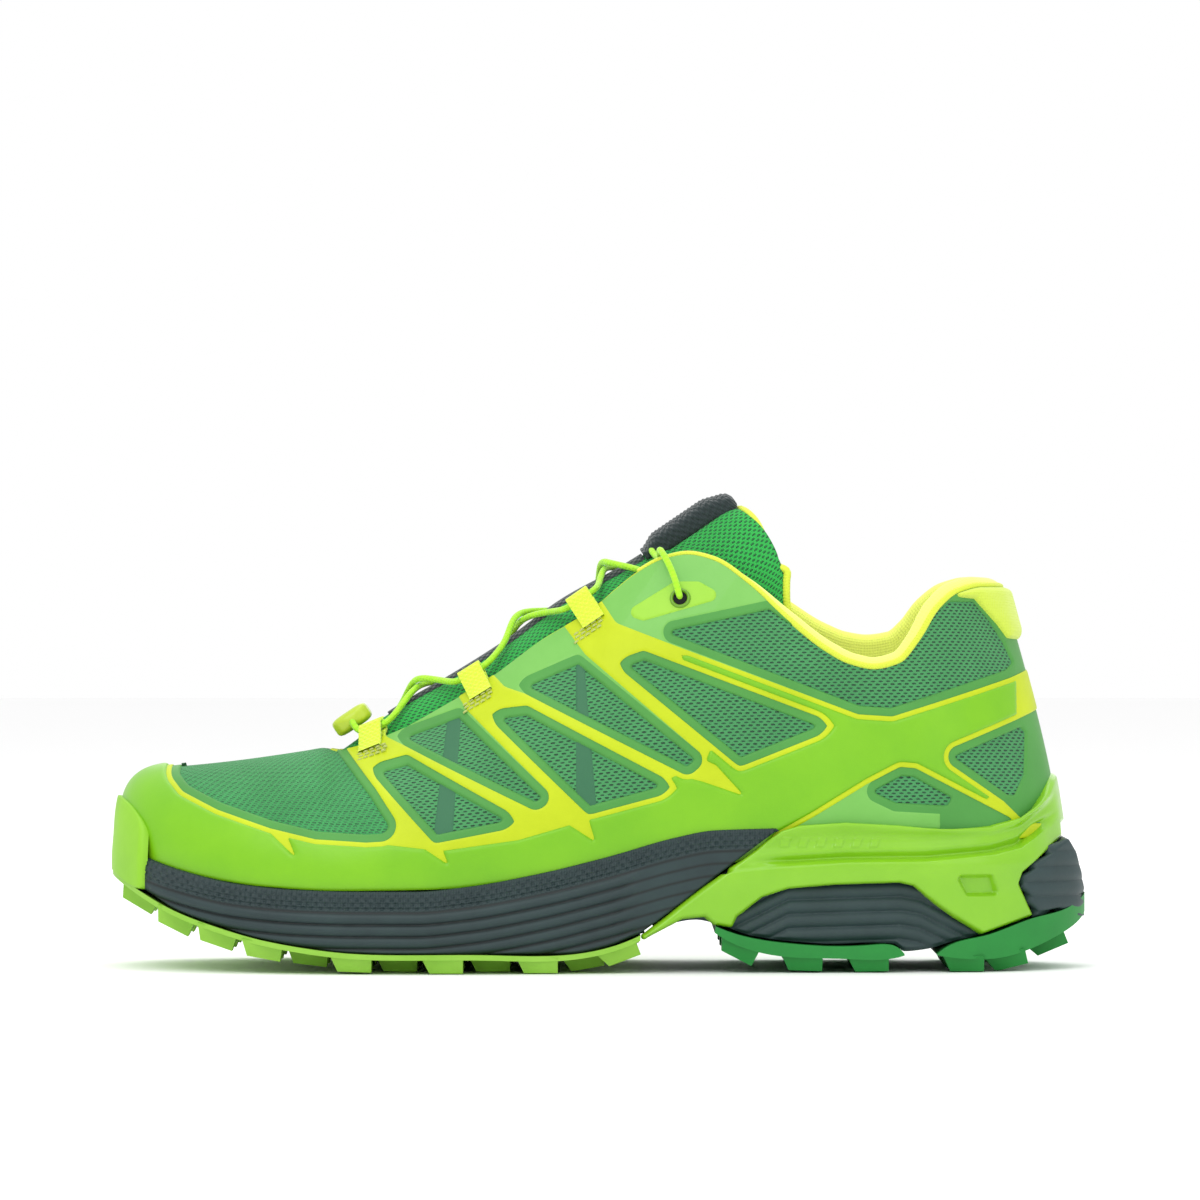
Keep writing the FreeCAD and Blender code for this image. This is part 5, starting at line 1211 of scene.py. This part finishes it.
def wall_run(t):
    """Length of the wall from its foot to its edge at a station."""
    return run_along(wall(np.full(60, t), np.linspace(0, 1, 60)))[-1]


def webbing_loop(name, t):
    """One loop of webbing: out from under the edge, round the lace and back onto the wall."""
    centre, past, along, facing = loop_frame(t)
    root = wall(t, 1.0)
    low = root - past * 5.4 + facing * 0.75
    a = np.radians(np.linspace(118, -128, 26))
    nose = centre + 2.0 * (np.cos(a)[:, None] * past + np.sin(a)[:, None] * facing)
    under_end = root - past * 2.0 - facing * 2.6
    line = np.concatenate([[low, root - past * 3.0 + facing * 1.0], nose, [under_end]])
    line = smooth_line(line, 0.35)
    d = unit(np.gradient(line, axis=0))
    out = unit(np.cross(along, d))
    edge = [(-1, 0.45), (-0.97, 0.5), (0.97, 0.5), (1, 0.45)]
    ring = np.array(edge + [(-w, -h) for w, h in edge])
    run = run_along(line)
    cross_rib = 0.16 * np.sin(2 * math.pi * run / 1.25)[:, None]
    points = [line + along * (LOOP_HALF * w) + out * (h + cross_rib * (h > 0)) for w, h in ring]
    uv = vec(run[:, None], ring[:, 0] * LOOP_HALF)
    return grid_object(name, np.stack(points, 1), M_LOOP, uv, wrap=True)


def join(name, objects):
    """Joins objects into the first of them."""
    bpy.ops.object.select_all(action="DESELECT")
    for o in objects:
        o.select_set(True)
    bpy.context.view_layer.objects.active = objects[0]
    bpy.ops.object.join()
    objects[0].name = name
    return objects[0]


for side, label in ((-1, "outer"), (1, "inner")):
    made = []
    for i, t in enumerate(LOOP_STATIONS):
        t = t if side < 0 else TURN - t
        made.append(webbing_loop(f"loop_{label}_{i}", t))
        centre, past, along, facing = loop_frame(t)
        low = 1.0 - 6.2 / wall_run(t)
        for row in range(3):
            for j in range(5):
                share = low - row * 1.7 / wall_run(t)
                at = inside(t, share, -0.55) + along * (2.1 * (j - 2) + 0.5 * (row % 2))
                ends = [at - along * 0.7, at + facing * 0.2, at + along * 0.7]
                made.append(tube("stitch", ends, 0.34, M_STITCH, 0.2, 8))
    on_shoe(join(f"webbing_loops_{label}", made), "loop_yellow", f"lace_loops_{label}")

    t, v = eyelet_place(side)
    n = wall_normal(t, v)
    c = inside(t, v, 0.0)
    e1 = unit(np.cross(n, UP))
    e2 = np.cross(n, e1)
    a = ring_angles(40)
    circle = np.cos(a)[:, None] * e1 + np.sin(a)[:, None] * e2
    section = [(2.05, -2.4), (2.05, 0.3), (2.3, 0.95), (2.7, 1.15), (3.1, 0.85), (3.25, 0.2), (3.25, -0.3)]
    rings = [c + h * n + r * circle for r, h in section]
    ring_obj = grid_object(f"eyelet_ring_{label}", np.array(rings), M_EYELET, wrap=True, flip=side > 0)
    # Painted shade: a near-black disc over each eyelet's opening stands for the shade inside it.
    hole_shade_disc = [c + 0.6 * n + r * circle for r in (0.05, 2.1)]
    hole_shade_obj = grid_object(f"eyelet_hole_shade_{label}", np.array(hole_shade_disc), M_HOLE_SHADE, wrap=True, flip=side > 0)
    on_shoe(ring_obj, "eyelet_green", f"eyelet_{label}")
    on_shoe(hole_shade_obj, "eyelet_green")

# The anchor: a ribbed block that both strands leave.
sa, aa = grid(np.linspace(-1, 1, 41), ring_angles(56))
end = np.sqrt(np.clip(1 - np.abs(sa) ** 6, 0.0, 1))
groove = 1 - 0.05 * (np.abs(np.sin(sa * math.pi * 2.5)) < 0.25)
anchor_points = (
    anchor_base + anchor_over * 2.4 + sa[..., None] * 6.4 * Y_AXIS
    + (6.2 * boxy(np.cos(aa)) * end * groove)[..., None] * anchor_along
    + (2.9 * boxy(np.sin(aa)) * end * groove)[..., None] * anchor_over
)
anchor = grid_object("lace_anchor_block", anchor_points, M_ANCHOR, wrap=True)
on_shoe(anchor, "anchor_yellow", "lace_anchor")

LACE_RADIUS = 1.0


def relaxed(line, width):
    """A line with its kinks eased out over a few points; its ends stay."""
    k = np.arange(-3 * width, 3 * width + 1)
    w = np.exp(-0.5 * (k / width) ** 2)
    before, after = line[3 * width:0:-1], line[-2:-3 * width - 2:-1]
    longer = np.concatenate([2 * line[:1] - before, line, 2 * line[-1:] - after])
    return np.stack([np.convolve(longer[:, i], w / w.sum(), "valid") for i in range(3)], 1)


for label, side, height in (("a", -1, 0.9), ("b", 1, 3.2)):
    line = relaxed(smooth_line(strand(side, height), 0.5), 5)
    lace = tube(f"lace_{label}", line[::3], LACE_RADIUS, M_LACE, 0.7, 14)
    on_shoe(lace, "lace_lime", f"lace_strand_{label}")
give("lace_tail", M_LACE)
give("lock_body", M_DARK)
give("lock_button", M_LACE)


# ---------------------------------------------------------------- floor, light and camera

AIM_AT = (0.0, 0.0, 0.06)


def lamp(name, place, watts, size):
    """A round lamp that faces the shoe."""
    data = bpy.data.lights.new(name, "AREA")
    data.energy = watts
    data.shape = "DISK"
    data.size = size
    obj = bpy.data.objects.new(name, data)
    bpy.context.scene.collection.objects.link(obj)
    obj.location = place
    obj.rotation_euler = (Vector(AIM_AT) - Vector(place)).to_track_quat("-Z", "Y").to_euler()
    return obj


corners = [(-6000, -6000, -0.3), (6000, -6000, -0.3), (6000, 6000, -0.3), (-6000, 6000, -0.3)]
floor_mesh = mesh_object("floor", corners, [[0, 1, 2, 3]])
floor_shader = Shader("studio floor", "#fbfbfb", 0.9)
floor_shader.bump(floor_shader.noise(30.0), 0.0002)
floor_mesh.data.materials.append(floor_shader.mat)
lamps = [
    lamp("key", (-0.5, -1.3, 1.5), 11, 1.3),
    lamp("fill", (1.0, -1.6, 0.9), 4, 1.5),
    lamp("top", (0.0, 0.3, 1.8), 9, 1.6),
    lamp("back", (0.2, 1.6, 0.9), 4, 1.5),
]
world = bpy.data.worlds.new("studio")
bpy.context.scene.world = world
world.use_nodes = True
backdrop = world.node_tree.nodes["Background"]
backdrop.inputs[0].default_value = (1, 1, 1, 1)
backdrop.inputs[1].default_value = 1.0

# The camera's distance, the width that it sees there, and the width of its sensor in mm.
CAMERA_AWAY, SEEN_WIDTH, SENSOR = 2.2, 0.3696, 36
camera_data = bpy.data.cameras.new("camera")
camera = bpy.data.objects.new("camera", camera_data)
bpy.context.scene.collection.objects.link(camera)
camera.location = (0.001, -CAMERA_AWAY, 0.1124)
camera.rotation_euler = (math.radians(90), 0, 0)
camera_data.sensor_width = SENSOR
camera_data.lens = SENSOR * CAMERA_AWAY / SEEN_WIDTH
camera_data.clip_start = 0.05
camera_data.clip_end = 50
bpy.context.scene.camera = camera
bpy.context.scene.view_settings.view_transform = "Standard"
